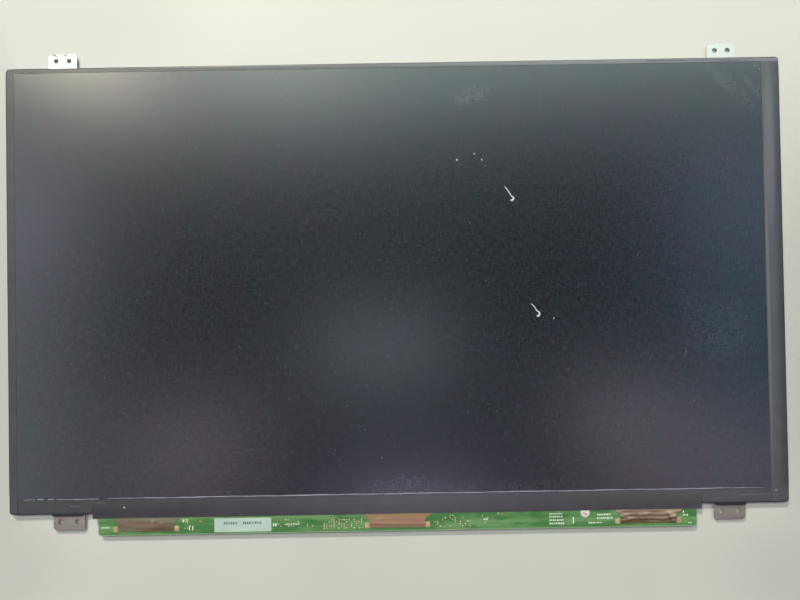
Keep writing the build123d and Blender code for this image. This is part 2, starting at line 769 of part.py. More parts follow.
def make_capacitors():
    """Rows of ceramic capacitors, each with two raised metal ends."""
    length, width, height = CAPACITOR
    result = []
    for place, count in zip(CAPACITOR_ROW_PLACES, CAPACITOR_ROW_COUNTS):
        first, y = place_on_board(*place)
        for index in range(count):
            x = first + index * CAPACITOR_PITCH
            chip = behind_board(length, width - 2 * CAPACITOR_STEP, height - CAPACITOR_STEP, x, y)
            for side in (-1, 1):
                end = x + side * (length - CAPACITOR_END) / 2
                chip += behind_board(CAPACITOR_END, width, height, end, y)
            result.append(chip)
    return Compound(result)


def make_resistors():
    """Rows of thin chip resistors."""
    result = []
    for place, count in zip(RESISTOR_ROW_PLACES, RESISTOR_ROW_COUNTS):
        first, y = place_on_board(*place)
        for index in range(count):
            result.append(behind_board(*RESISTOR, first + index * RESISTOR_PITCH, y))
    return Compound(result)


socket_y = board.bottom + SOCKET_FROM_EDGE + SOCKET_DEPTH / 2
contact_length = SOCKET_DEPTH - CONTACT_TIP_SETBACK + CONTACT_TAIL
contact_y = socket_y + (CONTACT_TIP_SETBACK + CONTACT_TAIL) / 2
contact_places = [socket_x + place for place in spread(CONTACT_COUNT, CONTACT_PITCH)]


def contact_bars(clearance):
    """The contacts as straight bars on the board, with a clearance all round."""
    width = CONTACT_WIDTH + 2 * clearance
    height = CONTACT_THICKNESS + clearance
    return [behind_board(width, contact_length, height, x, contact_y) for x in contact_places]


def make_socket_housing():
    """Connector housing: a wide low mouth towards the board's edge and a channel for each contact."""
    block = behind_board(SOCKET_LENGTH, SOCKET_DEPTH, SOCKET_HEIGHT, socket_x, socket_y)
    mouth_y = socket_y + (MOUTH_DEPTH - SOCKET_DEPTH) / 2
    mouth = behind_board(MOUTH_LENGTH, MOUTH_DEPTH, MOUTH_HEIGHT, socket_x, mouth_y)
    block -= Pos(0, 0, -MOUTH_FLOOR) * mouth
    comb = behind_board(
        MOUTH_LENGTH,
        MOUTH_DEPTH - CONTACT_TIP_SETBACK,
        MOUTH_FLOOR,
        socket_x,
        mouth_y + CONTACT_TIP_SETBACK / 2,
    )
    block -= [bar & comb for bar in contact_bars(CONTACT_CLEARANCE)]
    block -= contact_bars(CONTACT_CLEARANCE)
    return block


def make_socket_shell():
    """Sheet-steel cover over the housing, with a leg and a soldered foot at each end."""
    shell_y = socket_y + (SHELL_DEPTH - SOCKET_DEPTH) / 2
    span = SOCKET_LENGTH + 2 * SHELL_THICKNESS
    shell = Pos(0, 0, -SOCKET_HEIGHT) * behind_board(span, SHELL_DEPTH, SHELL_THICKNESS, socket_x, shell_y)
    height = SOCKET_HEIGHT + SHELL_THICKNESS
    for side in (-1, 1):
        leg_x = socket_x + side * (SOCKET_LENGTH + SHELL_THICKNESS) / 2
        foot_x = socket_x + side * (SOCKET_LENGTH + SHELL_FOOT) / 2
        shell += behind_board(SHELL_THICKNESS, SHELL_LEG_DEPTH, height, leg_x, shell_y)
        shell += behind_board(SHELL_FOOT, SHELL_LEG_DEPTH, SHELL_THICKNESS, foot_x, shell_y)
    return shell


def make_led_connector():
    """Low connector with a slot that takes the tail of the light strip."""
    y = board.top - LED_PLUG_FROM_TOP - LED_PLUG_DEPTH / 2
    block = behind_board(LED_PLUG_LENGTH, LED_PLUG_DEPTH, LED_PLUG_HEIGHT, tail_middle, y)
    level = board_back - LED_PLUG_HEIGHT / 2
    half_width = TAIL_WIDTH / 2 + LED_PLUG_SLOT_CLEARANCE
    half_height = STRIP_THICKNESS / 2 + LED_PLUG_SLOT_CLEARANCE
    entry = board.top - LED_PLUG_FROM_TOP
    slot = Rect(tail_middle - half_width, tail_middle + half_width, entry - LED_PLUG_SLOT_DEPTH, entry)
    return block - slab(slot, level - half_height, level + half_height)


def make_board_label():
    """Paper label on the front of the board."""
    centre = BOARD_OFFSET + LABEL_X
    low = board.bottom + LABEL_FROM_EDGE
    rect = Rect(centre - LABEL_LENGTH / 2, centre + LABEL_LENGTH / 2, low, low + LABEL_WIDTH)
    return sheet(rect, array_top, array_top + LABEL_THICKNESS, SHEET_CORNER)


def make_inspection_sticker():
    """Small round paper sticker on the front of the board."""
    place = Pos(BOARD_OFFSET + STICKER_X, board_middle + STICKER_Y, array_top)
    return place * extrude(Circle(STICKER_DIAMETER / 2), LABEL_THICKNESS)


sheets = guide.grow(-SHEET_INSET)
nodes = {
    "back_plate": make_back_plate(),
    "reflector_sheet": lugged_sheet(guide, plate_top, reflector_top),
    "light_guide": lugged_sheet(guide, reflector_top, guide_top),
    "diffuser_sheet": lugged_sheet(sheets, guide_top, diffuser_top),
    "lower_prism_sheet": lugged_sheet(sheets, diffuser_top, lower_prism_top),
    "upper_prism_sheet": lugged_sheet(sheets, lower_prism_top, upper_prism_top),
    "led_strip": make_led_strip(),
    "leds": make_leds(),
    "mould_frame": make_mould_frame(),
    "rim_tape": make_rim_tape(),
    "rear_polariser": sheet(polariser, rim_tape_top, rear_polariser_top, SHEET_CORNER),
    "array_glass": glass(array_glass, rear_polariser_top, array_top),
    "colour_filter_glass": glass(filter_glass, array_top, filter_top),
    "front_polariser": sheet(polariser, filter_top, front_top, SHEET_CORNER),
    "left_edge_tape": make_side_tape(-1),
    "right_edge_tape": make_side_tape(1),
    "top_edge_tape": make_top_tape(),
    "bottom_cover_tape": make_cover_tape(),
    "control_board": make_control_board(),
    "signal_connector_housing": make_socket_housing(),
    "signal_connector_shell": make_socket_shell(),
    "signal_connector_contacts": Compound(contact_bars(0)),
    "led_connector": make_led_connector(),
    "timing_controller_chip": make_chip(TIMING_CHIP, TIMING_CHIP_PLACE),
    "power_chip": make_chip(POWER_CHIP, POWER_CHIP_PLACE),
    "led_driver_chip": make_chip(LED_DRIVER_CHIP, LED_DRIVER_PLACE),
    "reference_voltage_chip": make_chip(REFERENCE_CHIP, REFERENCE_CHIP_PLACE),
    "memory_chip": make_chip(MEMORY_CHIP, MEMORY_CHIP_PLACE),
    "board_fuse": behind_board(*FUSE, *place_on_board(*FUSE_PLACE)),
    "power_inductors": make_inductors(),
    "rectifier_diodes": Compound([behind_board(*DIODE, *place_on_board(*place)) for place in DIODE_PLACES]),
    "ceramic_capacitors": make_capacitors(),
    "chip_resistors": make_resistors(),
    "board_label": make_board_label(),
    "inspection_sticker": make_inspection_sticker(),
}
for name, middle in zip(("left", "middle", "right"), film_places):
    nodes[f"driver_film_{name}"] = make_driver_film(middle)
    nodes[f"driver_chip_{name}"] = make_driver_chip(middle)
for name, middle in zip(("left", "right"), top_ear_places):
    nodes[f"bracket_top_{name}"] = make_bracket(
        middle,
        TOP_EAR_WIDTH,
        TOP_EAR_REACH,
        TOP_HOLE_SPACING,
        TOP_HOLE_FROM_TIP,
        frame.top,
        outward=1,
    )
for name, middle in zip(("left", "right"), bottom_ear_places):
    nodes[f"bracket_bottom_{name}"] = make_bracket(
        middle,
        BOTTOM_EAR_WIDTH,
        BOTTOM_EAR_REACH,
        BOTTOM_HOLE_SPACING,
        BOTTOM_HOLE_FROM_TIP,
        frame.bottom,
        outward=-1,
    )

os.makedirs("parts", exist_ok=True)
for name, shape in nodes.items():
    export_step(shape, f"parts/{name}.step")
    size = shape.bounding_box().size
    print(f"{name}: {size.X:.2f} x {size.Y:.2f} x {size.Z:.2f} mm")
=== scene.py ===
# %% [markdown]
# # Dressing a laptop screen panel
# The solids of the panel come ready made, each at its real size and place. This lesson gives them their
# finishes, adds the small things that lie on them, and sets up the camera, the light and the floor.
# Everything is in the panel's own frame: +X to the right of the screen, +Y to its upper edge, +Z out of the
# glass. Blender works in metres. Sizes are written in millimetres here, and turned into metres where a mesh
# is made.

# %% Load the solids
import json
import math

import bmesh
import bpy
import numpy as np
from mathutils import Euler, Matrix, Vector


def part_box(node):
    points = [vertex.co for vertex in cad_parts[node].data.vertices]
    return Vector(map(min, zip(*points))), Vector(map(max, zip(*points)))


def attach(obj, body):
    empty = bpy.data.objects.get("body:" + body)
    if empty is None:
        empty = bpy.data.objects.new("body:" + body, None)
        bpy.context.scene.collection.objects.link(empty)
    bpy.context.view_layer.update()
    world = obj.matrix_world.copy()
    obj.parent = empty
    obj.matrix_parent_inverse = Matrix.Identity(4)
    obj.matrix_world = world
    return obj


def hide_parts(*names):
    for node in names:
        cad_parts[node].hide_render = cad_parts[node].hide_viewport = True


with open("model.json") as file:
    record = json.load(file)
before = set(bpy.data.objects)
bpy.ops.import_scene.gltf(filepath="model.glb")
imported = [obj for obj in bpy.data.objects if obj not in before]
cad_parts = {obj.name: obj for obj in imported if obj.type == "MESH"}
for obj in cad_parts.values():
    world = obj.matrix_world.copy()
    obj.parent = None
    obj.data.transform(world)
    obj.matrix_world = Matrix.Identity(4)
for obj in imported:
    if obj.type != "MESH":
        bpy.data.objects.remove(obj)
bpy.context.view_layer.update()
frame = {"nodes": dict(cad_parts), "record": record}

MM = 0.001
nodes = frame["nodes"]
slot_of = {part["node"]: part["material_slot"] for part in frame["record"]["subparts"]}


def corners_mm(node):
    """Lowest and highest corner of a solid, in millimetres."""
    return [np.array(corner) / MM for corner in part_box(node)]


print(len(nodes), "solids in", len(set(slot_of.values())), "material slots")

# %% [markdown]
# ## Small helpers for finishes
# Colours are picked as sRGB hex values, as a paint chart gives them, but a shader works in linear light, so
# one function turns the first into the second. Another adds one shader node with its settings and links,
# which keeps each finish readable as a list of steps. A pattern's scale is the number of its features in a
# metre, so a third function works it out from the size of one feature.

# %% Colour and node helpers
FACTOR = 0
FIRST = 6
SECOND = 7
COLOUR_MIX = {"out": 2, "data_type": "RGBA"}


def linear(hex_colour):
    """Linear colour of an sRGB hex value: c / 12.92 for dark channels, and for the rest
    ((c + 0.055) / 1.055) ^ 2.4."""
    channels = np.array([int(hex_colour[i:i + 2], 16) for i in (1, 3, 5)]) / 255
    light = np.where(channels <= 0.04045, channels / 12.92, ((channels + 0.055) / 1.055) ** 2.4)
    return (*light.tolist(), 1.0)


def feed(tree, node, links):
    """Sets each socket of a node to a value or hex colour, or links it to the output that feeds it."""
    for socket, value in links.items():
        if isinstance(value, bpy.types.NodeSocket):
            tree.links.new(value, node.inputs[socket])
        else:
            node.inputs[socket].default_value = linear(value) if isinstance(value, str) else value


def add(tree, kind, links, out=0, **settings):
    """Adds one node with its own settings and what feeds its sockets, and gives back one of its outputs."""
    node = tree.nodes.new(kind)
    for option, value in settings.items():
        setattr(node, option, value)
    feed(tree, node, links)
    return node.outputs[out]


def per_metre(size_mm):
    """Scale of a pattern whose features are this many millimetres apart."""
    return 1 / (size_mm * MM)


def new_material(name):
    """A fresh material: itself, its node tree, its shader and the object coordinates for its patterns."""
    material = bpy.data.materials.new(name)
    material.use_nodes = True
    tree = material.node_tree
    where = add(tree, "ShaderNodeTexCoord", {}, out="Object")
    return material, tree, tree.nodes["Principled BSDF"], where


print("linear mid grey:", round(linear("#808080")[0], 3))

# %% [markdown]
# ## Camera
# The panel lies on its back and the camera looks straight down on it from about 290 mm, through a phone's
# wide lens. The four corners of the body, whose real size is known, fix where such a camera stands and how
# it is turned, so these few numbers place it and no shift is needed. The same numbers also work backwards:
# the function below takes a pixel of the 800 x 600 picture to the point of a level plane that lies behind
# it, and the marks on the screen are placed by it.

# %% Camera
PICTURE = (800, 600)
FOCAL_PIXELS = 620
CAMERA_PLACE = Vector((1.58, -10.71, 289.47)) * MM
CAMERA_TURN = Euler([math.radians(angle) for angle in (0.717, -0.039, -0.971)])

lens = bpy.data.cameras.new("overhead_camera")
lens.sensor_width = 36.0
lens.lens = lens.sensor_width * FOCAL_PIXELS / PICTURE[0]
lens.clip_start = 0.01
camera = bpy.data.objects.new("overhead_camera", lens)
camera.location = CAMERA_PLACE
camera.rotation_euler = CAMERA_TURN
bpy.context.scene.collection.objects.link(camera)
bpy.context.scene.camera = camera


def on_plane(pixels, height_mm):
    """Points behind these pixels on the level plane of that height: camera + t * view line, with t set
    by the height."""
    across = (np.array(pixels, float) - np.array(PICTURE) / 2) / FOCAL_PIXELS
    lines = np.column_stack([across[:, 0], -across[:, 1], -np.ones(len(across))])
    lines = lines @ np.array(CAMERA_TURN.to_matrix()).T
    start = np.array(CAMERA_PLACE) / MM
    return start + lines * ((height_mm - start[2]) / lines[:, 2])[:, None]


print("lens", round(lens.lens, 2), "mm, middle of the picture at", on_plane([(400, 300)], 0.0).round(1))

# %% [markdown]
# ## Light
# A dark screen shows little of its own: what the eye sees on it is the room, blurred by its matt film. So
# the light is laid out as a room is. A window with a bright core stands beyond the upper left corner and
# draws the glow there, and strips of pale ceiling lie along the top. Walls stand left and right, brighter
# at some heights than at others, small patches of wall lie below, and straight overhead is one soft patch
# near the middle. Each lamp is given by its direction from the panel, its size as a share of the lamp
# level, and its radiance, so that moving the level changes nothing. One nearer window beyond the upper edge
# lights the table and draws the short, crisp shadows below the lower edge.

# %% Lamps
LAMP_LEVEL = 4000
LAMPS = {
    "window_lamp": ((-0.55, 0.51), (0.26, 0.22), 7.2, "#f8f4ff"),
    "window_core": ((-0.58, 0.52), (0.12, 0.12), 33.0, "#fffdc8"),
    "upper_strip": ((0.23, 0.52), (1.24, 0.20), 5.6, "#e4fff0"),
    "upper_left_strip": ((-0.28, 0.56), (0.40, 0.20), 4.2, "#fff2dc"),
    "near_strip": ((0.05, 0.36), (0.90, 0.10), 1.2, "#d0b8ff"),
    "left_wall": ((-0.78, -0.09), (0.35, 0.82), 1.7, "#eef3ff"),
    "upper_left_wall": ((-0.72, 0.22), (0.30, 0.30), 1.0, "#efd8ff"),
    "right_wall": ((0.64, -0.02), (0.23, 0.65), 0.85, "#b4e3ff"),
    "upper_right_wall": ((0.62, 0.22), (0.25, 0.35), 0.75, "#e0daff"),
    "lower_wall": ((0.02, -0.40), (0.24, 0.07), 8.5, "#f1dcff"),
    "lower_left_patch": ((-0.36, -0.24), (0.20, 0.14), 2.3, "#ffdcec"),
    "lower_left_wall": ((-0.38, -0.40), (0.22, 0.12), 1.0, "#f8c8ff"),
    "lower_right_patch": ((0.38, -0.19), (0.18, 0.10), 2.3, "#f4efff"),
    "lower_right_wall": ((0.51, -0.32), (0.34, 0.20), 1.35, "#ffd8f0"),
    "ceiling_patch": ((-0.03, -0.07), (0.22, 0.07), 3.8, "#e8f4ff"),
}
TALL_WINDOW_PLACE = (-440, 1200, 1000)
TALL_WINDOW_SIZE = (250, 120)
TALL_WINDOW_WATTS = 21.6


def area_light(name, place_mm, size_mm, watts, colour):
    """A rectangular lamp that faces the middle of the panel, with its width level along X."""
    lamp = bpy.data.lights.new(name, "AREA")
    lamp.shape = "RECTANGLE"
    lamp.size = size_mm[0] * MM
    lamp.size_y = size_mm[1] * MM
    lamp.energy = watts
    lamp.color = linear(colour)[:3]
    light = bpy.data.objects.new(name, lamp)
    light.location = Vector(place_mm) * MM
    back = light.location.normalized()
    side = Vector((0, 1, 0)).cross(back).normalized()
    light.rotation_euler = Matrix((side, back.cross(side), back)).transposed().to_euler()
    bpy.context.scene.collection.objects.link(light)


for name, ((across, up), (width, height), radiance, colour) in LAMPS.items():
    place = (across * LAMP_LEVEL, up * LAMP_LEVEL, LAMP_LEVEL)
    size = (width * LAMP_LEVEL, height * LAMP_LEVEL)
    area_light(name, place, size, radiance * math.pi * size[0] * size[1] * MM * MM, colour)
area_light("tall_window", TALL_WINDOW_PLACE, TALL_WINDOW_SIZE, TALL_WINDOW_WATTS, "#fffcf2")
print(len(LAMPS) + 1, "lamps")

# %% [markdown]
# ## Soft blots
# Smears, stains and worn places are soft ellipses, each with its own middle, length, width and turn. They
# could be painted on an image, but a formula stays sharp at any size: a Mapping node set to Texture takes a
# point into the ellipse's own measure, where a round gradient falls from one in the middle to nothing at
# the rim. The blots are laid over each other and kept where they are strongest. A second function takes
# marks whose middles are pixels of the picture onto a level plane.

# %% Blot helper
BLOT_CORE = 0.8


def blots(tree, where, spots):
    """Mask of soft ellipses. A spot is (x, y, half length, half width, turn, strength), with lengths in
    millimetres and the turn in degrees."""
    mask = 0.0
    for x, y, half_length, half_width, turn, strength in spots:
        local = add(
            tree,
            "ShaderNodeMapping",
            {
                "Vector": where,
                "Location": (x * MM, y * MM, 0),
                "Rotation": (0, 0, math.radians(turn)),
                "Scale": (half_length * MM, half_width * MM, 1),
            },
            vector_type="TEXTURE",
        )
        fall = add(tree, "ShaderNodeTexGradient", {"Vector": local}, out="Fac", gradient_type="SPHERICAL")
        soft = add(
            tree,
            "ShaderNodeMapRange",
            {"Value": fall, "From Max": BLOT_CORE, "To Max": strength},
            interpolation_type="SMOOTHSTEP",
        )
        mask = add(tree, "ShaderNodeMath", {0: soft, 1: mask}, operation="MAXIMUM")
    return mask


def spots_at(marks, height_mm):
    """Blots on a level plane, from marks whose middles are pixels of the picture."""
    places = on_plane(np.reshape([mark[0] for mark in marks], (-1, 2)), height_mm)
    return [(*place[:2], *mark[1:]) for place, mark in zip(places, marks)]


# %% [markdown]
# ## Room and table
# The world is the room itself: pale all round and dim straight overhead. Its strength falls as a direction
# points up, and a little from left to right. The table is a plain pale sheet just under the panel, and no
# part of the object. Light and shade are painted into its colour: a shade lighter towards the window, and
# painted shadow along both sides of the panel and at three of its corners.

# %% World and floor
ALL_ROUND = 0.2
STRAIGHT_UP = 0.03
FROM_LEFT = 1.1
FROM_RIGHT = 0.9

world = bpy.data.worlds.new("bright_room")
bpy.context.scene.world = world
world.use_nodes = True
room = world.node_tree
direction = add(room, "ShaderNodeTexCoord", {}, out="Generated")
ray = add(room, "ShaderNodeSeparateXYZ", {0: direction}).node.outputs
overhead = {"Value": ray["Z"], "From Min": 0.4, "From Max": 0.9, "To Min": ALL_ROUND, "To Max": STRAIGHT_UP}
leftward = {"Value": ray["X"], "From Min": -0.6, "From Max": 0.6, "To Min": FROM_LEFT, "To Max": FROM_RIGHT}
strength = add(
    room,
    "ShaderNodeMath",
    {
        0: add(room, "ShaderNodeMapRange", overhead, interpolation_type="SMOOTHSTEP"),
        1: add(room, "ShaderNodeMapRange", leftward),
    },
    operation="MULTIPLY",
)
feed(room, room.nodes["Background"], {"Color": "#f7f8f8", "Strength": strength})

FLOOR_HALF = 3.0
FLOOR_LEVEL = -0.02 * MM
WINDOW_GLOW_HALF = 0.14
TABLE_CLOUD_MM = 60
TABLE_CLOUD_SHARE = 0.06
# Blots of painted shadow on the table: along both sides of the panel and at three of its corners.
PAINTED_SHADOW_PLACES = [
    (194, -25, 34, 150, 0, 0.5),
    (-190, 0, 30, 220, 0, 0.55),
    (-165, 125, 95, 48, 0, 0.22),
    (-195, -128, 60, 40, 0, 0.3),
    (195, -135, 70, 40, 0, 0.3),
]
corners = np.array([(-1, -1), (1, -1), (1, 1), (-1, 1)]) * FLOOR_HALF
floor_mesh = bpy.data.meshes.new("table_top")
floor_mesh.from_pydata(np.column_stack([corners, np.full(4, FLOOR_LEVEL)]).tolist(), [], [(0, 1, 2, 3)])
floor = bpy.data.objects.new("table_top", floor_mesh)
bpy.context.scene.collection.objects.link(floor)
bpy.context.scene.view_settings.view_transform = "Standard"

table, tree, shader, where = new_material("painted_table")
# A painted light gradient: the paint turns lighter along Y, towards the window.
upward = add(tree, "ShaderNodeSeparateXYZ", {0: where}, out="Y")
shade = add(tree, "ShaderNodeMapRange", {"Value": upward, "From Min": -WINDOW_GLOW_HALF, "From Max": WINDOW_GLOW_HALF})
cloud = add(tree, "ShaderNodeTexNoise", {"Vector": where, "Scale": per_metre(TABLE_CLOUD_MM), "Detail": 2.0})
paint = add(tree, "ShaderNodeMix", {FACTOR: shade, FIRST: "#c1c1b9", SECOND: "#d0d0c7"}, **COLOUR_MIX)
paint = add(
    tree,
    "ShaderNodeMix",
    {FACTOR: TABLE_CLOUD_SHARE, FIRST: paint, SECOND: cloud},
    **COLOUR_MIX,
    blend_type="OVERLAY",
)
# Painted shadow laid over the paint.
painted_shadow_paint = add(
    tree,
    "ShaderNodeMix",
    {FACTOR: blots(tree, where, PAINTED_SHADOW_PLACES), FIRST: paint, SECOND: "#9b9c97"},
    **COLOUR_MIX,
)
feed(tree, shader, {"Base Color": painted_shadow_paint, "Roughness": 0.7})
floor_mesh.materials.append(table)
print("table top at", FLOOR_LEVEL / MM, "mm")

# %% [markdown]
# ## The screen's anti-glare film
# The front of the panel is a polarising film with a hard matt coat: fine grit in the coat scatters the
# mirror image of the room into soft clouds of light. Under it the dead screen is a blue-black, a little
# greener here and a little redder there. The grit itself is far too fine to show, but fine dust and wiping
# have left short level and upright dashes, some lighter and some darker than the film. Hands have left
# grease on it: a thumb mark by the upper edge, wiping streaks at the upper right corner, a finger smear on
# the right and a faint haze along the lower edge. Grease scatters light that a clean screen swallows, so a
# smear is a slightly paler colour, broken up by noise.

# %% Anti-glare film
GRAIN_MM = 0.8
DASH_STRETCH = 4.0
LIGHT_DASHES = (0.55, 0.8, 0.26, "#3a4450")
DARK_DASHES = (0.45, 0.25, 1.0, "#020305")
PATCH_MM = 8.0
RIPPLE_MM = 4.0
SMEARS = {
    "thumb_mark": ((470, 95), 12.0, 7.0, 8, 0.22),
    "upper_thumb_mark": ((484, 88), 7.0, 4.0, 12, 0.16),
    "wiping_streak": ((733, 88), 24.0, 5.0, -44, 0.16),
    "outer_wiping_streak": ((752, 86), 15.0, 2.4, -50, 0.14),
    "inner_wiping_streak": ((716, 74), 10.0, 3.0, -40, 0.12),
    "finger_smear": ((722, 330), 24.0, 22.0, 20, 0.09),
    "finger_smear_top": ((694, 304), 13.0, 9.0, -30, 0.07),
    "finger_edge": ((686, 352), 1.0, 6.0, -6, 0.14),
    "lower_edge_haze": ((402, 487), 26.0, 9.0, 0, 0.11),
    "right_edge_haze": ((510, 489), 60.0, 7.0, 0, 0.07),
}

film, tree, shader, where = new_material("anti_glare_film")
film_top = corners_mm("front_polariser")[1][2]
spots = spots_at(SMEARS.values(), film_top)
ripple = add(tree, "ShaderNodeTexNoise", {"Vector": where, "Scale": per_metre(RIPPLE_MM), "Detail": 4.0})
broken = add(tree, "ShaderNodeMapRange", {"Value": ripple, "From Min": 0.3, "From Max": 0.65, "To Min": 0.35})
haze = add(tree, "ShaderNodeMath", {0: blots(tree, where, spots), 1: broken}, operation="MULTIPLY")

cloud = add(tree, "ShaderNodeTexNoise", {"Vector": where, "Scale": per_metre(PATCH_MM), "Detail": 2.0})
patch = add(tree, "ShaderNodeMapRange", {"Value": cloud, "From Min": 0.35, "From Max": 0.65})
tint = add(tree, "ShaderNodeMix", {FACTOR: patch, FIRST: "#141c23", SECOND: "#171a23"}, **COLOUR_MIX)
tint = add(tree, "ShaderNodeMix", {FACTOR: haze, FIRST: tint, SECOND: "#6a737b"}, **COLOUR_MIX)
sheen = add(tree, "ShaderNodeMix", {FACTOR: patch, FIRST: "#f8fffc", SECOND: "#fffcff"}, **COLOUR_MIX)
for stretch in ((1.0, DASH_STRETCH, 1.0), (DASH_STRETCH, 1.0, 1.0)):
    dashes = add(tree, "ShaderNodeMapping", {"Vector": where, "Scale": stretch})
    grain = add(
        tree,
        "ShaderNodeTexNoise",
        {"Vector": dashes, "Scale": per_metre(GRAIN_MM * DASH_STRETCH), "Detail": 1.0},
    )
    for start, full, share, shade in (LIGHT_DASHES, DARK_DASHES):
        dash = add(
            tree,
            "ShaderNodeMapRange",
            {"Value": grain, "From Min": start, "From Max": full, "To Max": share},
        )
        tint = add(tree, "ShaderNodeMix", {FACTOR: dash, FIRST: tint, SECOND: shade}, **COLOUR_MIX)
feed(
    tree,
    shader,
    {"Base Color": tint, "Roughness": 0.25, "Specular IOR Level": 0.83, "Specular Tint": sheen},
)
finishes = {"polariser": film}
print(len(spots), "smears on the film")

# %% [markdown]
# ## Black polyester tape
# The border is thin black polyester tape: satin, stretched over the frame's edges, with a fine grain and
# shallow waves where it was pressed down by hand. Some places are painted paler, as painted sheen for the
# light that the bent tape reflects: along the right side, most of all by the glass, along the right half of
# the top, and over the driver films.

# %% Polyester tape
TAPE_WAVE_MM = 7.0
TAPE_GRAIN_MM = 0.9
# Blots of painted sheen: reflected light painted into the tape's colour.
PAINTED_SHEEN_PLACES = [
    (173.0, 20.0, 6.5, 230.0, 0, 0.28),
    (172.2, 0.0, 1.6, 150.0, 0, 0.54),
    (174.0, 60.0, 4.5, 70.0, 0, 0.5),
    (120.0, 102.2, 220.0, 2.2, 0, 0.9),
    (60.0, -99.5, 260.0, 8.0, 0, 0.16),
]
tape, tree, shader, where = new_material("polyester_tape")
wave = add(tree, "ShaderNodeTexNoise", {"Vector": where, "Scale": per_metre(TAPE_WAVE_MM), "Detail": 3.0})
grain = add(tree, "ShaderNodeTexNoise", {"Vector": where, "Scale": per_metre(TAPE_GRAIN_MM), "Detail": 2.0})
waves = add(tree, "ShaderNodeBump", {"Height": wave, "Strength": 0.6, "Distance": 0.12 * MM})
fine = {"Height": grain, "Strength": 0.3, "Distance": 0.03 * MM, "Normal": waves}
relief = add(tree, "ShaderNodeBump", fine)
patch = add(tree, "ShaderNodeMapRange", {"Value": wave, "From Min": 0.3, "From Max": 0.7})
tint = add(tree, "ShaderNodeMix", {FACTOR: patch, FIRST: "#2d2d30", SECOND: "#363639"}, **COLOUR_MIX)
# Painted sheen laid over the tape's colour.
tint = add(
    tree,
    "ShaderNodeMix",
    {FACTOR: blots(tree, where, PAINTED_SHEEN_PLACES), FIRST: tint, SECOND: "#77777c"},
    **COLOUR_MIX,
)
dull = add(tree, "ShaderNodeMapRange", {"Value": grain, "To Min": 0.27, "To Max": 0.36})
feed(tree, shader, {"Base Color": tint, "Roughness": dull, "Specular IOR Level": 0.6, "Normal": relief})
finishes["black_tape"] = tape
print(len(PAINTED_SHEEN_PLACES), "pale places on the tape")

# %% [markdown]
# ## Finishes made as soft patches
# Most other pieces are moulded, pressed or rolled in one colour, and what the eye sees is a drift between
# two close shades and a grain. One function makes these: soft patches of two shades, a grain that may be
# stretched along a direction, and the roughness and metal of the material. A table lists them by slot, each
# named for its material. Plated and rolled metals are stretched along X, as a roller leaves them.

# %% Patchy finishes
PATCH_IN_GRAINS = 8
ROUGH_SWING = 0.08


def patchy(name, dark, light, grain_mm, rough, metal=0.0, stretch=1.0, relief_mm=0.01):
    """Colour drifts between two shades over several grains, roughness and bump follow the grain itself."""
    material, tree, shader, where = new_material(name)
    drawn = add(tree, "ShaderNodeMapping", {"Vector": where, "Scale": (1 / stretch, 1.0, 1.0)})
    grain = add(tree, "ShaderNodeTexNoise", {"Vector": drawn, "Scale": per_metre(grain_mm), "Detail": 3.0})
    patch_mm = PATCH_IN_GRAINS * grain_mm
    cloud = add(tree, "ShaderNodeTexNoise", {"Vector": drawn, "Scale": per_metre(patch_mm), "Detail": 2.0})
    patch = add(tree, "ShaderNodeMapRange", {"Value": cloud, "From Min": 0.3, "From Max": 0.7})
    tint = add(tree, "ShaderNodeMix", {FACTOR: patch, FIRST: dark, SECOND: light}, **COLOUR_MIX)
    swing = {"Value": grain, "To Min": rough - ROUGH_SWING, "To Max": rough + ROUGH_SWING}
    dull = add(tree, "ShaderNodeMapRange", swing)
    relief = add(tree, "ShaderNodeBump", {"Height": grain, "Strength": 0.4, "Distance": relief_mm * MM})
    feed(tree, shader, {"Base Color": tint, "Roughness": dull, "Metallic": metal, "Normal": relief})
    return material


finishes |= {
    "aluminium_sheet": patchy("rolled_aluminium", "#a9abad", "#bdbec0", 0.8, 0.38, 1.0, 20.0),
    "white_film": patchy("white_polyester", "#e2e2dd", "#efefeb", 2.0, 0.7),
    "optical_film": patchy("diffusing_polyester", "#c4c9ca", "#d3d7d7", 1.5, 0.35),
    "flex_circuit": patchy("amber_polyimide", "#8f6427", "#a8772f", 1.0, 0.35, 0.0, 6.0),
    "led_package": patchy("white_epoxy", "#e4dfbd", "#f2edd2", 0.4, 0.4),
    "black_plastic": patchy("moulded_polycarbonate", "#17171a", "#202023", 0.6, 0.5, 0.0, 1.0, 0.02),
    "panel_glass": patchy("display_glass", "#20242a", "#282d33", 6.0, 0.16, 0.0, 1.0, 0.001),
    "silicon_chip": patchy("bare_silicon", "#26262a", "#333338", 0.5, 0.25),
    "chip_package": patchy("moulded_epoxy", "#151516", "#202021", 0.3, 0.55, 0.0, 1.0, 0.02),
    "ivory_plastic": patchy("connector_nylon", "#cfc6ac", "#ded6bf", 0.5, 0.5),
    "gold_contact": patchy("gold_flash", "#c9a050", "#dcb565", 0.3, 0.28, 1.0, 4.0),
    "ceramic": patchy("fired_ceramic", "#83684c", "#a0825f", 0.4, 0.5),
    "ferrite": patchy("pressed_iron_powder", "#2b2b2d", "#3a3a3c", 0.3, 0.6, 0.0, 1.0, 0.03),
    "paper_label": patchy("coated_paper", "#a6bab1", "#b2c4bb", 0.8, 0.55),
}
print(len(finishes), "finishes so far")

# %% [markdown]
# ## Acrylic light guide
# The light guide is a clear acrylic plate. It lies sealed inside, but its edge can show in an exploded
# view, so it gets real transmission with acrylic's own refraction, and faint moulding cloud in its
# roughness.

# %% Acrylic
MOULD_CLOUD_MM = 12.0

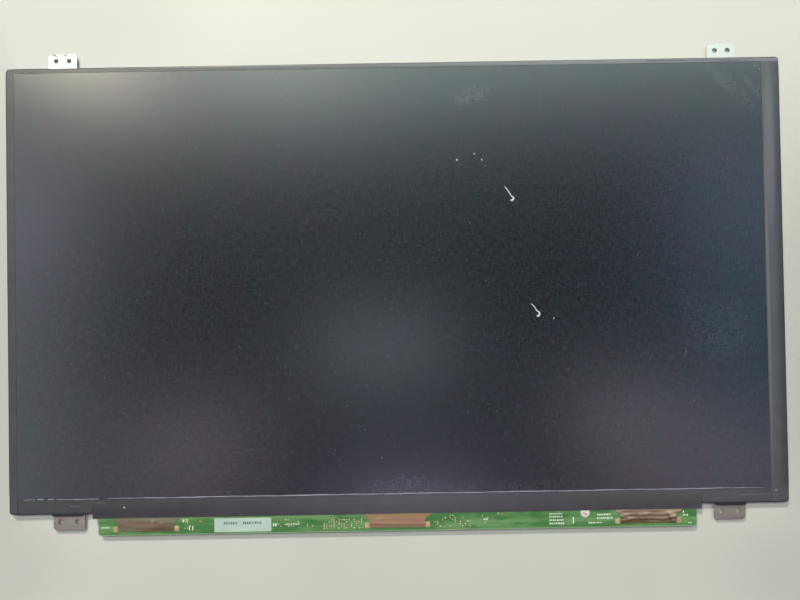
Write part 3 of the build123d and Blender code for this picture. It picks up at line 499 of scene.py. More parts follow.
acrylic, tree, shader, where = new_material("clear_acrylic_sheet")
cloud = add(tree, "ShaderNodeTexNoise", {"Vector": where, "Scale": per_metre(MOULD_CLOUD_MM), "Detail": 2.0})
dull = add(tree, "ShaderNodeMapRange", {"Value": cloud, "To Min": 0.02, "To Max": 0.12})
tint = add(tree, "ShaderNodeMix", {FACTOR: cloud, FIRST: "#e6f1ec", SECOND: "#f4fbf8"}, **COLOUR_MIX)
feed(tree, shader, {"Base Color": tint, "Roughness": dull, "IOR": 1.49, "Transmission Weight": 0.9})
finishes["clear_acrylic"] = acrylic
print("acrylic IOR", shader.inputs["IOR"].default_value)

# %% [markdown]
# ## Plated steel ears
# The four ears are stamped from thin plated steel. The upper two are bright and mirror the window. The left
# one has dark, yellowish marks along its tip, with a little bump relief. The lower two are the same steel
# made darker and browner: painted shade, for the dim side of the room that they mirror. Both have fine
# drawing lines along X from the roller.

# %% Bright and dull steel
LINE_MM = 0.5
LINE_SHARE = 0.12
SPECKLE_MM = 0.8
# Dark, yellowish marks along the tip of the upper left ear, with a little bump relief.
EAR_MARKS = {
    "left_edge_mark": ((52.6, 55.0), 3.2, 0.9, -4, 1.0),
    "left_tip_spot": ((56.6, 56.4), 1.5, 0.9, -30, 1.0),
    "right_edge_mark": ((65.0, 55.0), 2.8, 0.8, 2, 1.0),
    "right_tip_spot": ((66.2, 58.0), 0.7, 1.6, -10, 0.8),
}

steel, tree, shader, where = new_material("bright_plated_steel")
drawn = add(tree, "ShaderNodeMapping", {"Vector": where, "Scale": (LINE_SHARE, 1.0, 1.0)})
lines = add(tree, "ShaderNodeTexNoise", {"Vector": drawn, "Scale": per_metre(LINE_MM), "Detail": 3.0})
speckle = add(tree, "ShaderNodeTexNoise", {"Vector": where, "Scale": per_metre(SPECKLE_MM), "Detail": 4.0})
rough_edge = add(tree, "ShaderNodeMapRange", {"Value": speckle, "From Min": 0.35, "From Max": 0.6})
ear_front = corners_mm("bracket_top_left")[1][2]
ear_spots = spots_at(EAR_MARKS.values(), ear_front)
tip_marks = add(tree, "ShaderNodeMath", {0: blots(tree, where, ear_spots), 1: rough_edge}, operation="MULTIPLY")
bright = add(tree, "ShaderNodeMix", {FACTOR: lines, FIRST: "#d2d1cb", SECOND: "#e4e3de"}, **COLOUR_MIX)
tint = add(tree, "ShaderNodeMix", {FACTOR: tip_marks, FIRST: bright, SECOND: "#4f4a22"}, **COLOUR_MIX)
relief = add(tree, "ShaderNodeBump", {"Height": lines, "Strength": 0.3, "Distance": 0.01 * MM})
dent = {"Height": tip_marks, "Strength": 0.8, "Distance": 0.15 * MM, "Normal": relief}
dents = add(tree, "ShaderNodeBump", dent)
feed(tree, shader, {"Base Color": tint, "Roughness": 0.5, "Metallic": 1.0, "Normal": dents})
finishes["plated_steel"] = steel
# The lower ears: a darker, browner copy of the steel, as painted shade.
finishes["dull_steel"] = patchy("shade_painted_plated_steel", "#958f85", "#aca598", 0.5, 0.42, 0.85, 8.0)
print("marks on the upper left ear:", len(EAR_MARKS))

# %% [markdown]
# ## The circuit board
# The board is glass laminate under green solder mask. Over copper the mask looks light, over bare laminate
# it looks dark, so it is drawn as soft blocks stretched along the board, with tracks running along it. A
# wave texture turns through 20 radians in one unit of its scale, so its scale is worked out from the length
# of one radian. The cut edge along the bottom is paler, where the raw laminate shows.

# %% Solder mask
COPPER_MM = 4.5
COPPER_SHARE = 0.35
TRACK_RADIAN_MM = 0.8
WAVE_RADIANS = 20
CUT_WHITE = 0.25
CUT_FADE = 0.6
board_low, board_high = corners_mm("control_board")
board_front = board_high[2]

mask, tree, shader, where = new_material("green_solder_mask")
drawn = add(tree, "ShaderNodeMapping", {"Vector": where, "Scale": (COPPER_SHARE, 1.0, 1.0)})
blocks = add(tree, "ShaderNodeTexNoise", {"Vector": drawn, "Scale": per_metre(COPPER_MM), "Detail": 3.0})
copper = add(tree, "ShaderNodeMapRange", {"Value": blocks, "From Min": 0.42, "From Max": 0.58})
tint = add(tree, "ShaderNodeMix", {FACTOR: copper, FIRST: "#3d7038", SECOND: "#638c55"}, **COLOUR_MIX)
tracks = add(
    tree,
    "ShaderNodeTexWave",
    {"Vector": where, "Scale": per_metre(TRACK_RADIAN_MM) / WAVE_RADIANS, "Distortion": 1.2, "Detail": 1.0},
    out="Fac",
    bands_direction="Y",
)
thin = add(tree, "ShaderNodeMapRange", {"Value": tracks, "From Min": 0.6, "From Max": 0.9, "To Max": 0.35})
tint = add(tree, "ShaderNodeMix", {FACTOR: thin, FIRST: tint, SECOND: "#2c6326"}, **COLOUR_MIX)
height = add(tree, "ShaderNodeSeparateXYZ", {0: where}, out="Y")
cut = add(
    tree,
    "ShaderNodeMapRange",
    {
        "Value": height,
        "From Min": (board_low[1] + CUT_WHITE) * MM,
        "From Max": (board_low[1] + CUT_FADE) * MM,
        "To Min": 0.6,
        "To Max": 0.0,
    },
)
tint = add(tree, "ShaderNodeMix", {FACTOR: cut, FIRST: tint, SECOND: "#93ab86"}, **COLOUR_MIX)
relief = add(tree, "ShaderNodeBump", {"Height": thin, "Strength": 0.5, "Distance": 0.03 * MM})
feed(tree, shader, {"Base Color": tint, "Roughness": 0.4, "Normal": relief})
finishes["green_board"] = mask
print("board front at", round(board_front, 2), "mm")

# %% [markdown]
# ## Polyimide driver films
# Three brown polyimide films carry the signals from the board to the glass. Each one drifts from one shade
# near the tape to another near its foot, with streaks lying across it where it was bent, and the foot is
# thin enough to let the green board show through. Each film has its own shades, so a function makes the
# finish from three, and from the places of the folds that look pale or dark.

# %% Polyimide
STREAK_MM = 1.8
STREAK_SHARE = 0.14
SHEER_FOOT_MM = 2.4
SHEER_CLOUD_MM = 6.0
film_foot = corners_mm("driver_film_left")[0][1]
cover_low = corners_mm("bottom_cover_tape")[0][1]


def polyimide(name, upper, lower, foot, pale_folds=(), dark_folds=()):
    """Brown film: its shade is the way down from the tape plus a streak, and the foot's shade fades in at
    the end. Folds that catch the light or lie in the dark are soft blots over that."""
    material, tree, shader, where = new_material(name)
    height = add(tree, "ShaderNodeSeparateXYZ", {0: where}, out="Y")
    drawn = add(tree, "ShaderNodeMapping", {"Vector": where, "Scale": (STREAK_SHARE, 1.0, 1.0)})
    streaks = add(tree, "ShaderNodeTexNoise", {"Vector": drawn, "Scale": per_metre(STREAK_MM), "Detail": 3.0})
    clouding = {"Vector": where, "Scale": per_metre(SHEER_CLOUD_MM), "Detail": 2.0}
    cloud = add(tree, "ShaderNodeTexNoise", clouding)
    sway = add(
        tree,
        "ShaderNodeMapRange",
        {"Value": streaks, "From Min": 0.3, "From Max": 0.7, "To Min": -0.5, "To Max": 0.5},
    )
    down = {"Value": height, "From Min": cover_low * MM, "From Max": film_foot * MM}
    drift = add(tree, "ShaderNodeMath", {0: sway, 1: add(tree, "ShaderNodeMapRange", down)}, operation="ADD")
    tint = add(tree, "ShaderNodeMix", {FACTOR: drift, FIRST: upper, SECOND: lower}, **COLOUR_MIX)
    near_foot = {"Value": height, "From Min": (film_foot + SHEER_FOOT_MM) * MM, "From Max": film_foot * MM}
    patch = add(tree, "ShaderNodeMapRange", {"Value": cloud, "From Min": 0.35, "From Max": 0.6})
    sheer = add(
        tree,
        "ShaderNodeMath",
        {0: add(tree, "ShaderNodeMapRange", near_foot), 1: patch},
        operation="MULTIPLY",
    )
    tint = add(tree, "ShaderNodeMix", {FACTOR: sheer, FIRST: tint, SECOND: foot}, **COLOUR_MIX)
    for folds, shade in ((dark_folds, "#46321f"), (pale_folds, "#b39c88")):
        tint = add(
            tree,
            "ShaderNodeMix",
            {FACTOR: blots(tree, where, folds), FIRST: tint, SECOND: shade},
            **COLOUR_MIX,
        )
    relief = add(tree, "ShaderNodeBump", {"Height": streaks, "Strength": 0.5, "Distance": 0.05 * MM})
    feed(tree, shader, {"Base Color": tint, "Roughness": 0.33, "Normal": relief})
    return material


finishes["driver_film"] = polyimide("brown_polyimide", "#85694f", "#6f5742", "#5f6b4c")

# %% [markdown]
# ## Finishes onto the solids
# Each solid takes the finish of its material slot. Only the round sticker differs from its slot: it is
# plain white paper, while the label is bluish green.

# %% Put the finishes on the solids
for name, node in nodes.items():
    node.data.materials.clear()
    node.data.materials.append(finishes[slot_of[name]])
nodes["inspection_sticker"].data.materials[0] = patchy("white_paper", "#c4bfba", "#d2cdc8", 0.8, 0.6)
print("finished", len(nodes), "solids with", len(finishes), "finishes")

# %% [markdown]
# ## Surfaces from arrays
# Every new piece is a surface worked out with numpy: points in a grid of two parameters, for one piece or
# for many alike at once. One helper numbers the faces between neighbouring rows and columns, and another
# puts the points into a mesh object, merges the points that meet at poles, and lets the piece ride with the
# panel.

# %% Mesh helpers
MERGE_METRES = 1e-7


def quads(rows, columns, around):
    """Corner numbers of a grid's faces. Where the surface goes around, its last column joins its first."""
    starts = np.arange(columns if around else columns - 1)
    row, column = np.meshgrid(np.arange(rows - 1), starts, indexing="ij")
    here = row * columns + column
    beside = row * columns + (column + 1) % columns
    return np.stack([here, beside, beside + columns, here + columns], axis=-1).reshape(-1, 4)


def put(name, grids, around, material):
    """Makes one piece of grids of points in millimetres, an array of (grid, row, column, 3)."""
    count, rows, columns, _ = grids.shape
    starts = np.arange(count) * rows * columns
    faces = (quads(rows, columns, around)[None] + starts[:, None, None]).reshape(-1, 4)
    mesh = bpy.data.meshes.new(name)
    mesh.from_pydata((grids.reshape(-1, 3) * MM).tolist(), [], faces.tolist())
    mesh.shade_smooth()
    if around:
        shape = bmesh.new()
        shape.from_mesh(mesh)
        bmesh.ops.remove_doubles(shape, verts=shape.verts, dist=MERGE_METRES)
        bmesh.ops.recalc_face_normals(shape, faces=shape.faces)
        shape.to_mesh(mesh)
        shape.free()
    mesh.materials.append(material)
    piece = bpy.data.objects.new(name, mesh)
    bpy.context.scene.collection.objects.link(piece)
    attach(piece, "root")
    print(name, len(mesh.polygons), "faces")
    return piece


# %% [markdown]
# ## Crumpled driver films
# The solid films are flat sheets with the real outline. The real ones are thin foil that has been bent over
# the edge of the panel, so each one buckles between the cover tape and its foot on the board. The same
# outline is made again as a grid: one parameter runs across the film, the other down it, and the height is
# a sum of a few waves that die out under the tape and at the foot. Solidify then gives the sheet its real
# thickness.

# %% Films
FILM_THICKNESS = 0.08
SHOULDER_DROP = 0.8
SHOULDER_RUN = 3.6
FOOT_SHARE = 25.6 / 33.0
FOOT_BOND = 0.5
TAPE_CLEARANCE = 0.1
FILM_ACROSS = 81
FILM_DOWN = 65


def left_waves(x, y):
    """Nearly flat: a long swell across and a shallow one down the film."""
    return 0.10 + 0.05 * np.sin(x / 3.1) + 0.06 * np.sin(y * 1.7 + x / 5)


def middle_waves(x, y):
    """One fold line across, low down, and a gentle swell above it."""
    return 0.16 + 0.26 * np.exp(-(((y + 110.1 + 0.03 * x) / 0.55) ** 2)) + 0.07 * np.sin(x / 4 + y)


def right_waves(x, y):
    """Crumpled: slanting folds a little over two millimetres apart, that wander and change height along X."""
    phase = (y - 0.06 * x + 0.5 * np.sin(x / 3.7)) * 2 * np.pi / 2.3
    return 0.26 + (0.20 + 0.06 * np.sin(x / 2.9)) * np.sin(phase) + 0.05 * np.sin(2.3 * x + y)


FILMS = {
    "left": (left_waves, "#716a58", "#654835", "#5f6b4c"),
    "middle": (middle_waves, "#8b7150", "#94695a", "#6f7355"),
    "right": (right_waves, "#8d7861", "#5b402d", "#5c5a30"),
}
PALE_FOLDS = {
    "left": [((152.5, 521.0), 1.8, 1.2, 60, 0.28), ((161.5, 522.6), 2.6, 0.5, 8, 0.35)],
    "middle": [((380.0, 517.5), 4.0, 0.6, 6, 0.4)],
    "right": [
        ((671.5, 513.0), 3.2, 1.6, -25, 0.85),
        ((628.5, 516.8), 4.0, 0.6, -6, 0.7),
        ((623.0, 512.8), 5.0, 0.6, -12, 0.5),
        ((643.0, 513.3), 4.5, 1.0, 5, 0.6),
        ((653.7, 520.7), 5.2, 0.4, 0, 0.5),
    ],
}
DARK_FOLDS = {
    "left": [((164.0, 528.5), 8.5, 2.2, 0, 0.5)],
    "middle": [],
    "right": [((669.5, 518.0), 3.4, 0.8, -58, 0.9), ((640.0, 519.0), 9.0, 0.8, 3, 0.6)],
}

for side, (waves, upper, lower, foot) in FILMS.items():
    low, high = corners_mm(f"driver_film_{side}")
    middle = (low[0] + high[0]) / 2
    half = (high[0] - low[0]) / 2
    shoulder = board_high[1] - SHOULDER_DROP
    y = np.linspace(high[1], low[1], FILM_DOWN)[:, None]
    narrow = np.clip((shoulder - y) / SHOULDER_RUN, 0, 1)
    width = half * (1 - narrow * (1 - FOOT_SHARE))
    x = width * np.linspace(-1, 1, FILM_ACROSS)[None]
    down = np.clip((cover_low - TAPE_CLEARANCE - y) / (cover_low - low[1] - FOOT_BOND), 0, 1)
    loose = np.sin(np.pi * down) ** 0.5
    z = low[2] + FILM_THICKNESS + loose * np.maximum(waves(x, y), 0)
    grid = np.stack(np.broadcast_arrays(x + middle, y, z), axis=-1)[None, :, ::-1]
    pale, dark = spots_at(PALE_FOLDS[side], board_front), spots_at(DARK_FOLDS[side], board_front)
    finish = polyimide(f"polyimide_{side}", upper, lower, foot, pale, dark)
    piece = put(f"crumpled_film_{side}", grid, False, finish)
    thick = piece.modifiers.new("foil", "SOLIDIFY")
    thick.thickness = FILM_THICKNESS * MM
    thick.offset = -1
    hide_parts(f"driver_film_{side}")

# %% [markdown]
# ## Draped cover tape
# The solid cover tape folds down sharply where the glass ends. The real one bridges that step in one long,
# gentle slope from the glass down to the films, so it is made again as three sheets: the long one in the
# middle falls from the fold to its lower edge by a smooth curve, and a flat wing lies on the frame at each
# end.

# %% Cover tape
COVER_OVERHANG = 2.6
COVER_THICKNESS = 0.1
WING_GAP = 0.02
COVER_ACROSS = 40
COVER_DOWN = 25

tape_low, tape_high = corners_mm("bottom_cover_tape")
fold = corners_mm("colour_filter_glass")[0][1]
cover_left = board_low[0] - COVER_OVERHANG
cover_right = board_high[0] + COVER_OVERHANG
wing_low = corners_mm("left_edge_tape")[0][1]
sheets = [
    (cover_left, cover_right, tape_low[1], tape_low[2] + COVER_THICKNESS),
    (tape_low[0], cover_left - WING_GAP, wing_low, tape_high[2]),
    (cover_right + WING_GAP, tape_high[0], wing_low, tape_high[2]),
]
cover_grids = []
for left, right, bottom, low_edge in sheets:
    x = np.linspace(left, right, COVER_ACROSS)[None]
    y = np.linspace(tape_high[1], bottom, COVER_DOWN)[:, None]
    t = np.clip((fold - y) / (fold - bottom), 0, 1)
    z = tape_high[2] + (low_edge - tape_high[2]) * t * t * (3 - 2 * t)
    cover_grids.append(np.stack(np.broadcast_arrays(x, y, z), axis=-1)[:, ::-1])
cover = put("draped_cover_tape", np.array(cover_grids), False, tape)
cover.data.shade_flat()
thick = cover.modifiers.new("tape", "SOLIDIFY")
thick.thickness = COVER_THICKNESS * MM
thick.offset = -1
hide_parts("bottom_cover_tape")

# %% [markdown]
# ## Rounded blocks and beads
# Solder pads, chip parts, printed marks and dust are all small rounded blocks. A superellipsoid gives any
# of them: its power sets how square it is, from a grain of dust at 0.8 to a printed bar at 0.2, and every
# block of a kind is worked out in one array. Scratches, creases and the pale line along the film's edge are
# beads: an ellipse carried along a path, that is pinched to nothing at both ends so that it closes by
# itself.

# %% Block and bead shapes
BLOCK_AROUND = 12
BLOCK_UP = 5
BEAD_AROUND = 10
SQUARE = 0.2
CHIP = 0.3
BLURRED = 0.5
DOT = 0.7
GRAIN = 0.8


def signed_power(wave, power):
    """A wave raised to a power with its sign kept: a small power squares a round shape off."""
    return np.sign(wave) * np.abs(wave) ** power


def blocks_on(level, places, sizes, turns, power):
    """Rounded blocks that stand on a level. For the angles a around and b up, each point is
    (length cos^p b cos^p a, width cos^p b sin^p a, height (1 + sin^p b)) / 2, turned about Z and moved
    to its place."""
    places, sizes = np.array(places, float), np.array(sizes, float)
    turns = np.radians(np.broadcast_to(turns, len(places)))[:, None, None]
    b, a = np.meshgrid(
        np.linspace(-np.pi / 2, np.pi / 2, BLOCK_UP),
        np.linspace(0, 2 * np.pi, BLOCK_AROUND, endpoint=False),
        indexing="ij",
    )
    ring = signed_power(np.cos(b), power)
    x = sizes[:, 0, None, None] / 2 * ring * signed_power(np.cos(a), power)
    y = sizes[:, 1, None, None] / 2 * ring * signed_power(np.sin(a), power)
    z = sizes[:, 2, None, None] / 2 * (1 + signed_power(np.sin(b), power))
    turned_x = places[:, 0, None, None] + x * np.cos(turns) - y * np.sin(turns)
    turned_y = places[:, 1, None, None] + x * np.sin(turns) + y * np.cos(turns)
    return np.stack([turned_x, turned_y, level + z], axis=-1)


def smooth_path(points, rounds=3):
    """Cuts every corner of a path at a quarter and three quarters of its runs, a few times over."""
    points = np.array(points, float)
    for _ in range(rounds):
        near = 0.75 * points[:-1] + 0.25 * points[1:]
        far = 0.25 * points[:-1] + 0.75 * points[1:]
        cut = np.stack([near, far], axis=1).reshape(-1, points.shape[1])
        points = np.concatenate([points[:1], cut, points[-1:]])
    return points


def bead(path, width, height, level, pinch=6):
    """A closed bead along a path: ellipses of this width and height, that stand on a level and shrink to
    nothing at both ends by the root of 1 - |t|^pinch, where t runs from -1 to 1."""
    path = np.array(path, float)
    run = np.gradient(path, axis=0)
    run = run / np.linalg.norm(run, axis=1, keepdims=True)
    t = np.linspace(-1, 1, len(path))
    ends = np.sqrt(1 - np.abs(t) ** pinch)
    angle = np.linspace(0, 2 * np.pi, BEAD_AROUND, endpoint=False)
    across = (width * ends / 2)[:, None] * np.cos(angle)
    up = (height * ends / 2)[:, None] * np.sin(angle) + np.max(height) / 2
    x = path[:, 0, None] - across * run[:, 1, None]
    y = path[:, 1, None] + across * run[:, 0, None]
    return np.stack([x, y, level + up], axis=-1)[None]


print(len(quads(BLOCK_UP, BLOCK_AROUND, True)), "faces on a block before its poles are merged")

# %% [markdown]
# ## Solder pads and chip parts on the board
# Beside each film foot lies a square tinned pad, and small chip parts with tinned ends stand in clusters
# along the board. The parts are placed by a seeded draw among the cells of each cluster, so that no two
# meet and every run gives the same board. Tin over copper looks tan in warm light, and the parts look
# cream.

# %% Pads and parts
PAD_SIZE = (2.2, 2.7, 0.05)
PAD_ABOVE_EDGE = 2.8
PAD_SKEW = 2
PAD_PLACES = (-131.0, -102.7, -15.0, 12.9, 100.4, 128.9)
CELL = (1.15, 0.95)
PART_SIZE = (0.85, 0.5, 0.28)
PART_SMALLEST = 0.75
CLUSTERS = {
    "beside_label": (-56.4, -45.6, -110.9, -107.0, 10),
    "small_row": (-43.0, -38.6, -111.0, -109.2, 3),
    "dense_row": (-35.4, -16.8, -112.2, -107.2, 44),
    "right_of_middle": (15.8, 33.2, -112.0, -106.2, 22),
    "past_middle": (37.6, 41.0, -110.5, -107.0, 4),
    "left_pair": (-100.6, -94.6, -112.0, -106.6, 9),
}
draw = np.random.default_rng(11)

tin = patchy("tinned_copper", "#a98f66", "#c7b088", 0.5, 0.42, 0.25)
pad_centres = [(x, board_low[1] + PAD_ABOVE_EDGE) for x in PAD_PLACES]
pad_turns = draw.uniform(-PAD_SKEW, PAD_SKEW, len(PAD_PLACES))
pads = blocks_on(board_front, pad_centres, [PAD_SIZE] * len(PAD_PLACES), pad_turns, SQUARE)
put("film_solder_pads", pads, True, tin)

part_places = []
for left, right, bottom, top, count in CLUSTERS.values():
    columns = np.arange(left + CELL[0] / 2, right, CELL[0])
    rows = np.arange(bottom + CELL[1] / 2, top, CELL[1])
    cells = np.stack(np.meshgrid(columns, rows), axis=-1).reshape(-1, 2)
    part_places.append(draw.permutation(cells)[:count])
part_places = np.concatenate(part_places)
part_turns = 90 * draw.integers(0, 2, len(part_places))
part_sizes = np.array(PART_SIZE) * draw.uniform(PART_SMALLEST, 1.0, (len(part_places), 1))
cream = patchy("tinned_ceramic", "#b7a67c", "#dccfa8", 0.4, 0.45)
parts = blocks_on(board_front, part_places, part_sizes, part_turns, CHIP)
put("front_chip_parts", parts, True, cream)

# %% [markdown]
# ## Printed marks
# Boards carry white printed marks, and the label and the round sticker carry some print as well. Here all
# of it is kept generic: rows of plain bars with no lettering. A row is filled from left to right with bars
# and gaps of drawn lengths, worked out as running sums. Ink is a very thin layer, so each bar is only two
# hundredths of a millimetre high.

# %% Print
INK_HEIGHT = 0.02
BAR_LENGTHS = (0.35, 0.85)
BAR_GAPS = (0.2, 0.4)
MOST_BARS = 60
SILK_ROWS = [
    (-137.4, -133.6, -109.8, 0.6),
    (-58.4, -56.0, -109.7, 1.4),
    (-53.0, -46.0, -109.6, 0.5),
    (69.0, 75.5, -106.9, 0.45),
    (69.0, 75.0, -108.2, 0.75),
    (69.0, 76.2, -109.8, 0.7),
    (69.0, 76.0, -111.3, 0.75),
    (91.0, 98.4, -107.6, 0.7),
    (91.0, 98.8, -109.2, 0.75),
    (87.0, 93.4, -111.3, 0.6),
    (130.6, 133.4, -108.4, 0.6),
    (132.9, 134.6, -112.0, 0.5),
]
SILK_MARKS = [
    (80.0, -110.0, 0.5, 3.0),
    (130.8, -106.9, 0.5, 1.0),
    (-99.7, -107.2, 0.5, 1.3),
    (-98.0, -107.2, 0.5, 1.3),
    (-97.0, -110.6, 0.5, 1.8),
    (-95.4, -110.6, 0.5, 1.8),
    (45.5, -106.2, 0.6, 0.6),
    (39.5, -108.8, 1.6, 0.5),
]
LABEL_ROWS = [(-81.0, -74.3, -108.6, 1.2), (-72.3, -63.0, -108.6, 1.2)]
STICKER_MARKS = [(85.2, -106.9, 1.5, 0.5), (86.0, -107.4, 0.9, 0.5)]
STICKER_TURNS = (-25, 20)
RED_DOTS = [(47.3, -106.6, 0.9, 0.7), (-91.8, -107.6, 1.1, 0.8)]


def inked(sizes):
    """Lengths and widths of printed marks, with the height of the ink added."""
    sizes = np.array(sizes)
    return np.column_stack([sizes, np.full(len(sizes), INK_HEIGHT)])


def print_rows(rows):
    """Bars that fill rows of (left, right, middle height, bar height): their starts are running sums of
    lengths and gaps. Gives places and sizes."""
    places, sizes = [], []
    for left, right, y, height in rows:
        lengths = draw.uniform(*BAR_LENGTHS, MOST_BARS)
        steps = lengths + draw.uniform(*BAR_GAPS, MOST_BARS)
        starts = left + np.concatenate([[0], np.cumsum(steps)[:-1]])
        kept = starts + lengths <= right
        places.append(np.column_stack([starts + lengths / 2, np.full(MOST_BARS, y)])[kept])
        sizes.append(np.column_stack([lengths, np.full(MOST_BARS, height)])[kept])
    return np.concatenate(places), inked(np.concatenate(sizes))


label_top = corners_mm("board_label")[1][2]
row_places, row_sizes = print_rows(SILK_ROWS)
marks = np.array(SILK_MARKS)
silk_places = np.concatenate([row_places, marks[:, :2]])
silk_sizes = np.concatenate([row_sizes, inked(marks[:, 2:])])
silk_ink = patchy("white_epoxy_ink", "#cfd8c6", "#e6ebdf", 0.5, 0.5)
put("board_print", blocks_on(board_front, silk_places, silk_sizes, 0, SQUARE), True, silk_ink)

label_places, label_sizes = print_rows(LABEL_ROWS)
label_ink = patchy("grey_label_ink", "#5c6668", "#78827f", 0.5, 0.6)
put("label_print", blocks_on(label_top, label_places, label_sizes, 0, SQUARE), True, label_ink)

sticker_marks, dots = np.array(STICKER_MARKS), np.array(RED_DOTS)
pink_ink = patchy("faded_red_ink", "#b9695c", "#cf8a7c", 0.5, 0.6)
sticker_print = blocks_on(label_top, sticker_marks, inked(sticker_marks[:, 2:]), STICKER_TURNS, BLURRED)
put("sticker_print", sticker_print, True, pink_ink)
red_dots = blocks_on(board_front, dots, inked(dots[:, 2:]), 0, DOT)
put("red_board_dots", red_dots, True, pink_ink)

# %% [markdown]
# ## Edges and creases
# Along the lower edge of the screen the cut edge of the film catches the light as a thin pale line, broken
# into dashes near the left corner. The tape has a few creases, and at the upper right the film's corner has
# lifted a little and shows as a small angle. All of these are beads a few hundredths of a millimetre high,
# and their pale colour is painted highlight: the light that these edges and folds catch.

# %% Edge line and creases
EDGE_HEIGHT = 0.06
EDGE_INSET = 0.05
EDGE_POINTS = 120
CREASE_HEIGHT = 0.05
CORNER_WIDTH = 0.45
CREASE_ROUNDS = 4
film_bottom = corners_mm("front_polariser")[0][1]
tape_top = tape_high[2]
EDGE_RUNS = [
    (-172.6, -167.4, 0.3),
    (-166.6, -163.6, 0.6),
    (-161.6, -158.8, 0.6),
    (-158.2, -137.4, 0.35),
    (-136.4, 170.9, 0.5),
]
edge_beads = []
for left, right, width in EDGE_RUNS:
    x = np.linspace(left, right, EDGE_POINTS)
    wander = 0.06 * np.sin(x / 7.3) + 0.04 * np.sin(x / 2.1)
    path = np.column_stack([x, film_bottom + width / 2 + EDGE_INSET + wander])
    thickness = width * (1 + 0.25 * np.sin(x / 5.1) * np.sin(x / 1.7))
    edge_beads.append(bead(path, thickness, EDGE_HEIGHT, film_top))
# The pale colour of the edge line is painted highlight.
pale_edge = patchy("cut_film_edge", "#77737f", "#9a95a2", 1.5, 0.4)
put("film_cut_edge", np.concatenate(edge_beads), True, pale_edge)

TAPE_CREASES = [
    ([(156.5, -99.5), (162.0, -99.3), (169.4, -99.2)], 0.35),
    ([(-151.4, -99.6), (-149.0, -99.5), (-146.6, -99.6)], 0.3),
    ([(-139.4, -98.2), (-137.5, -98.0), (-135.6, -98.1)], 0.3),
    ([(144.6, -101.2), (146.0, -101.1), (147.4, -101.2)], 0.3),
    ([(118.0, 102.0), (140.0, 102.1), (158.0, 101.9), (168.0, 102.4)], 0.45),
    ([(152.0, 101.3), (160.0, 101.4), (167.5, 101.2)], 0.3),
]
# Creases and the lifted corner are real ridges; their pale colour is painted highlight.
crease_highlight_finish = patchy("tape_crease_highlight", "#55545b", "#6d6c74", 1.0, 0.4)
for number, (points, width) in enumerate(TAPE_CREASES, 1):
    crease = bead(smooth_path(points, CREASE_ROUNDS), width, CREASE_HEIGHT, tape_top)
    put(f"tape_crease_{number}", crease, True, crease_highlight_finish)

CORNER_LIFT = [(753.6, 65.6), (757.4, 65.8), (759.4, 66.6), (759.6, 69.0), (759.8, 72.5)]
corner_path = smooth_path(on_plane(CORNER_LIFT, film_top)[:, :2], CREASE_ROUNDS)
corner = bead(corner_path, CORNER_WIDTH, EDGE_HEIGHT, film_top)
put("film_corner_lift", corner, True, crease_highlight_finish)

# %% [markdown]
# ## Dust, dried drops and scuffs
# Specks of dust and dried drops lie on the screen, and two comma-shaped scuffs with a hooked lower end
# stand out. Their places are pixels of the picture, carried onto the film by the camera's own numbers. A
# speck is a flat grain turned by a seeded draw. A scuff is a bead along a few points, thin at the start and
# thick at the hook.

# %% Specks and scuffs
BRIGHT_SPECKS = [(457.0, 160.0), (474.2, 153.8), (481.8, 159.8), (553.8, 318.4)]
BRIGHT_SPECK_SIZES = [(1.1, 1.0, 0.14), (0.8, 0.7, 0.12), (0.7, 1.1, 0.12), (0.5, 0.9, 0.10)]
FAINT_SPECKS = [
    (460.0, 165.3), (484.7, 166), (117, 106), (190, 141), (302, 150), (320, 147), (362, 151), (470, 223),
    (392, 245), (388, 267), (486, 281), (439, 250), (271, 298), (240, 347), (105, 378), (110, 412),
    (497, 339), (731, 109), (762, 138), (727, 159), (638, 255), (732, 302), (694, 401), (698, 404),
    (654, 421), (382, 458), (335, 450), (365, 430), (650, 448), (685, 479), (497, 411), (676, 117),
    (734, 270), (687, 344), (686, 351),
]
TAPE_FLECKS = [(-175.4, 100.5), (-126.6, -100.5)]
TAPE_FLECK_SIZES = [(0.8, 0.6, 0.05), (1.0, 0.9, 0.14)]
TAPE_SMUDGE = (173.7, -97.6)
TAPE_SMUDGE_SIZE = (1.6, 1.2, 0.02)
FAINT_SMALLEST = (0.4, 0.3, 0.04)
FAINT_LARGEST = (0.8, 0.5, 0.06)
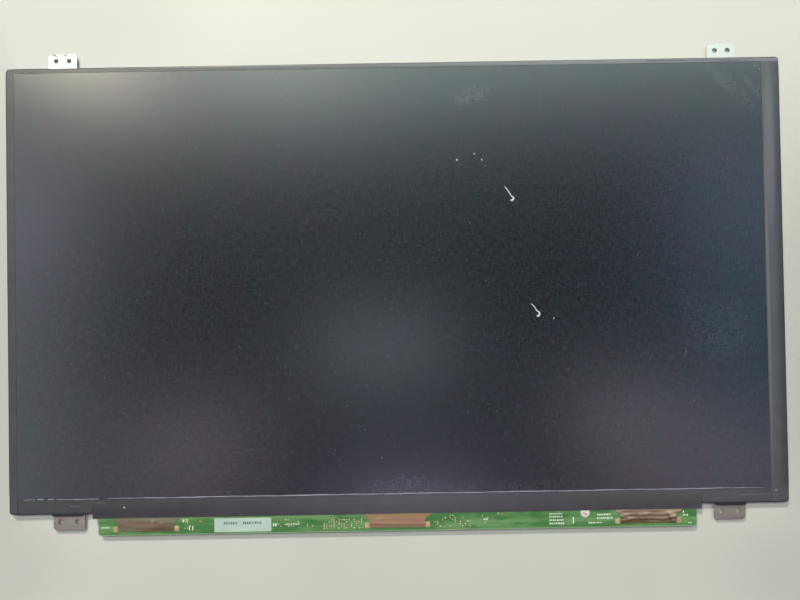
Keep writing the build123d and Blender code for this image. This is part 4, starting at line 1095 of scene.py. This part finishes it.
SCUFFS = {
    "upper_scuff": [
        (504.6, 186.6), (507.0, 189.4), (509.6, 193.0), (511.2, 196.2),
        (513.8, 197.4), (513.0, 199.8), (511.4, 200.8), (510.4, 199.6),
    ],
    "lower_scuff": [
        (531.0, 303.4), (533.4, 305.6), (535.6, 308.6), (536.8, 311.0),
        (539.8, 312.2), (539.2, 315.2), (537.6, 316.4), (536.6, 315.2),
    ],
}
SCUFF_HEIGHT = 0.12
SCUFF_WIDTH = 0.45
HOOK_EXTRA = 0.55
HOOK_PLACE = 0.68
HOOK_SPREAD = 0.16

dust = patchy("dried_dust", "#868b92", "#b3b8bd", 0.4, 0.8)
faint_dust = patchy("thin_dust", "#474d55", "#6a7077", 0.4, 0.8)
chalk = patchy("scuffed_coating", "#a9adb5", "#d3d6da", 0.5, 0.6)
bright_places = on_plane(BRIGHT_SPECKS, film_top)
faint_places = on_plane(FAINT_SPECKS, film_top)
faint_sizes = draw.uniform(FAINT_SMALLEST, FAINT_LARGEST, (len(FAINT_SPECKS), 3))
faint_turns = 90 * draw.integers(0, 2, len(FAINT_SPECKS))
specks = blocks_on(film_top, bright_places, BRIGHT_SPECK_SIZES, 0, GRAIN)
put("dust_specks", specks, True, dust)
specks = blocks_on(film_top, faint_places, faint_sizes, faint_turns, GRAIN)
put("faint_dust_specks", specks, True, faint_dust)
flecks = blocks_on(tape_top, TAPE_FLECKS, TAPE_FLECK_SIZES, 0, GRAIN)
put("tape_flecks", flecks, True, dust)
smudge = blocks_on(tape_top, [TAPE_SMUDGE], [TAPE_SMUDGE_SIZE], 0, BLURRED)
put("tape_smudge", smudge, True, faint_dust)

for name, pixels in SCUFFS.items():
    path = smooth_path(on_plane(pixels, film_top)[:, :2])
    along = np.linspace(0, 1, len(path))
    width = SCUFF_WIDTH + HOOK_EXTRA * np.exp(-(((along - HOOK_PLACE) / HOOK_SPREAD) ** 2))
    put(name, bead(path, width, SCUFF_HEIGHT, film_top), True, chalk)

# %% [markdown]
# What was added should hardly make the panel larger than its solids.
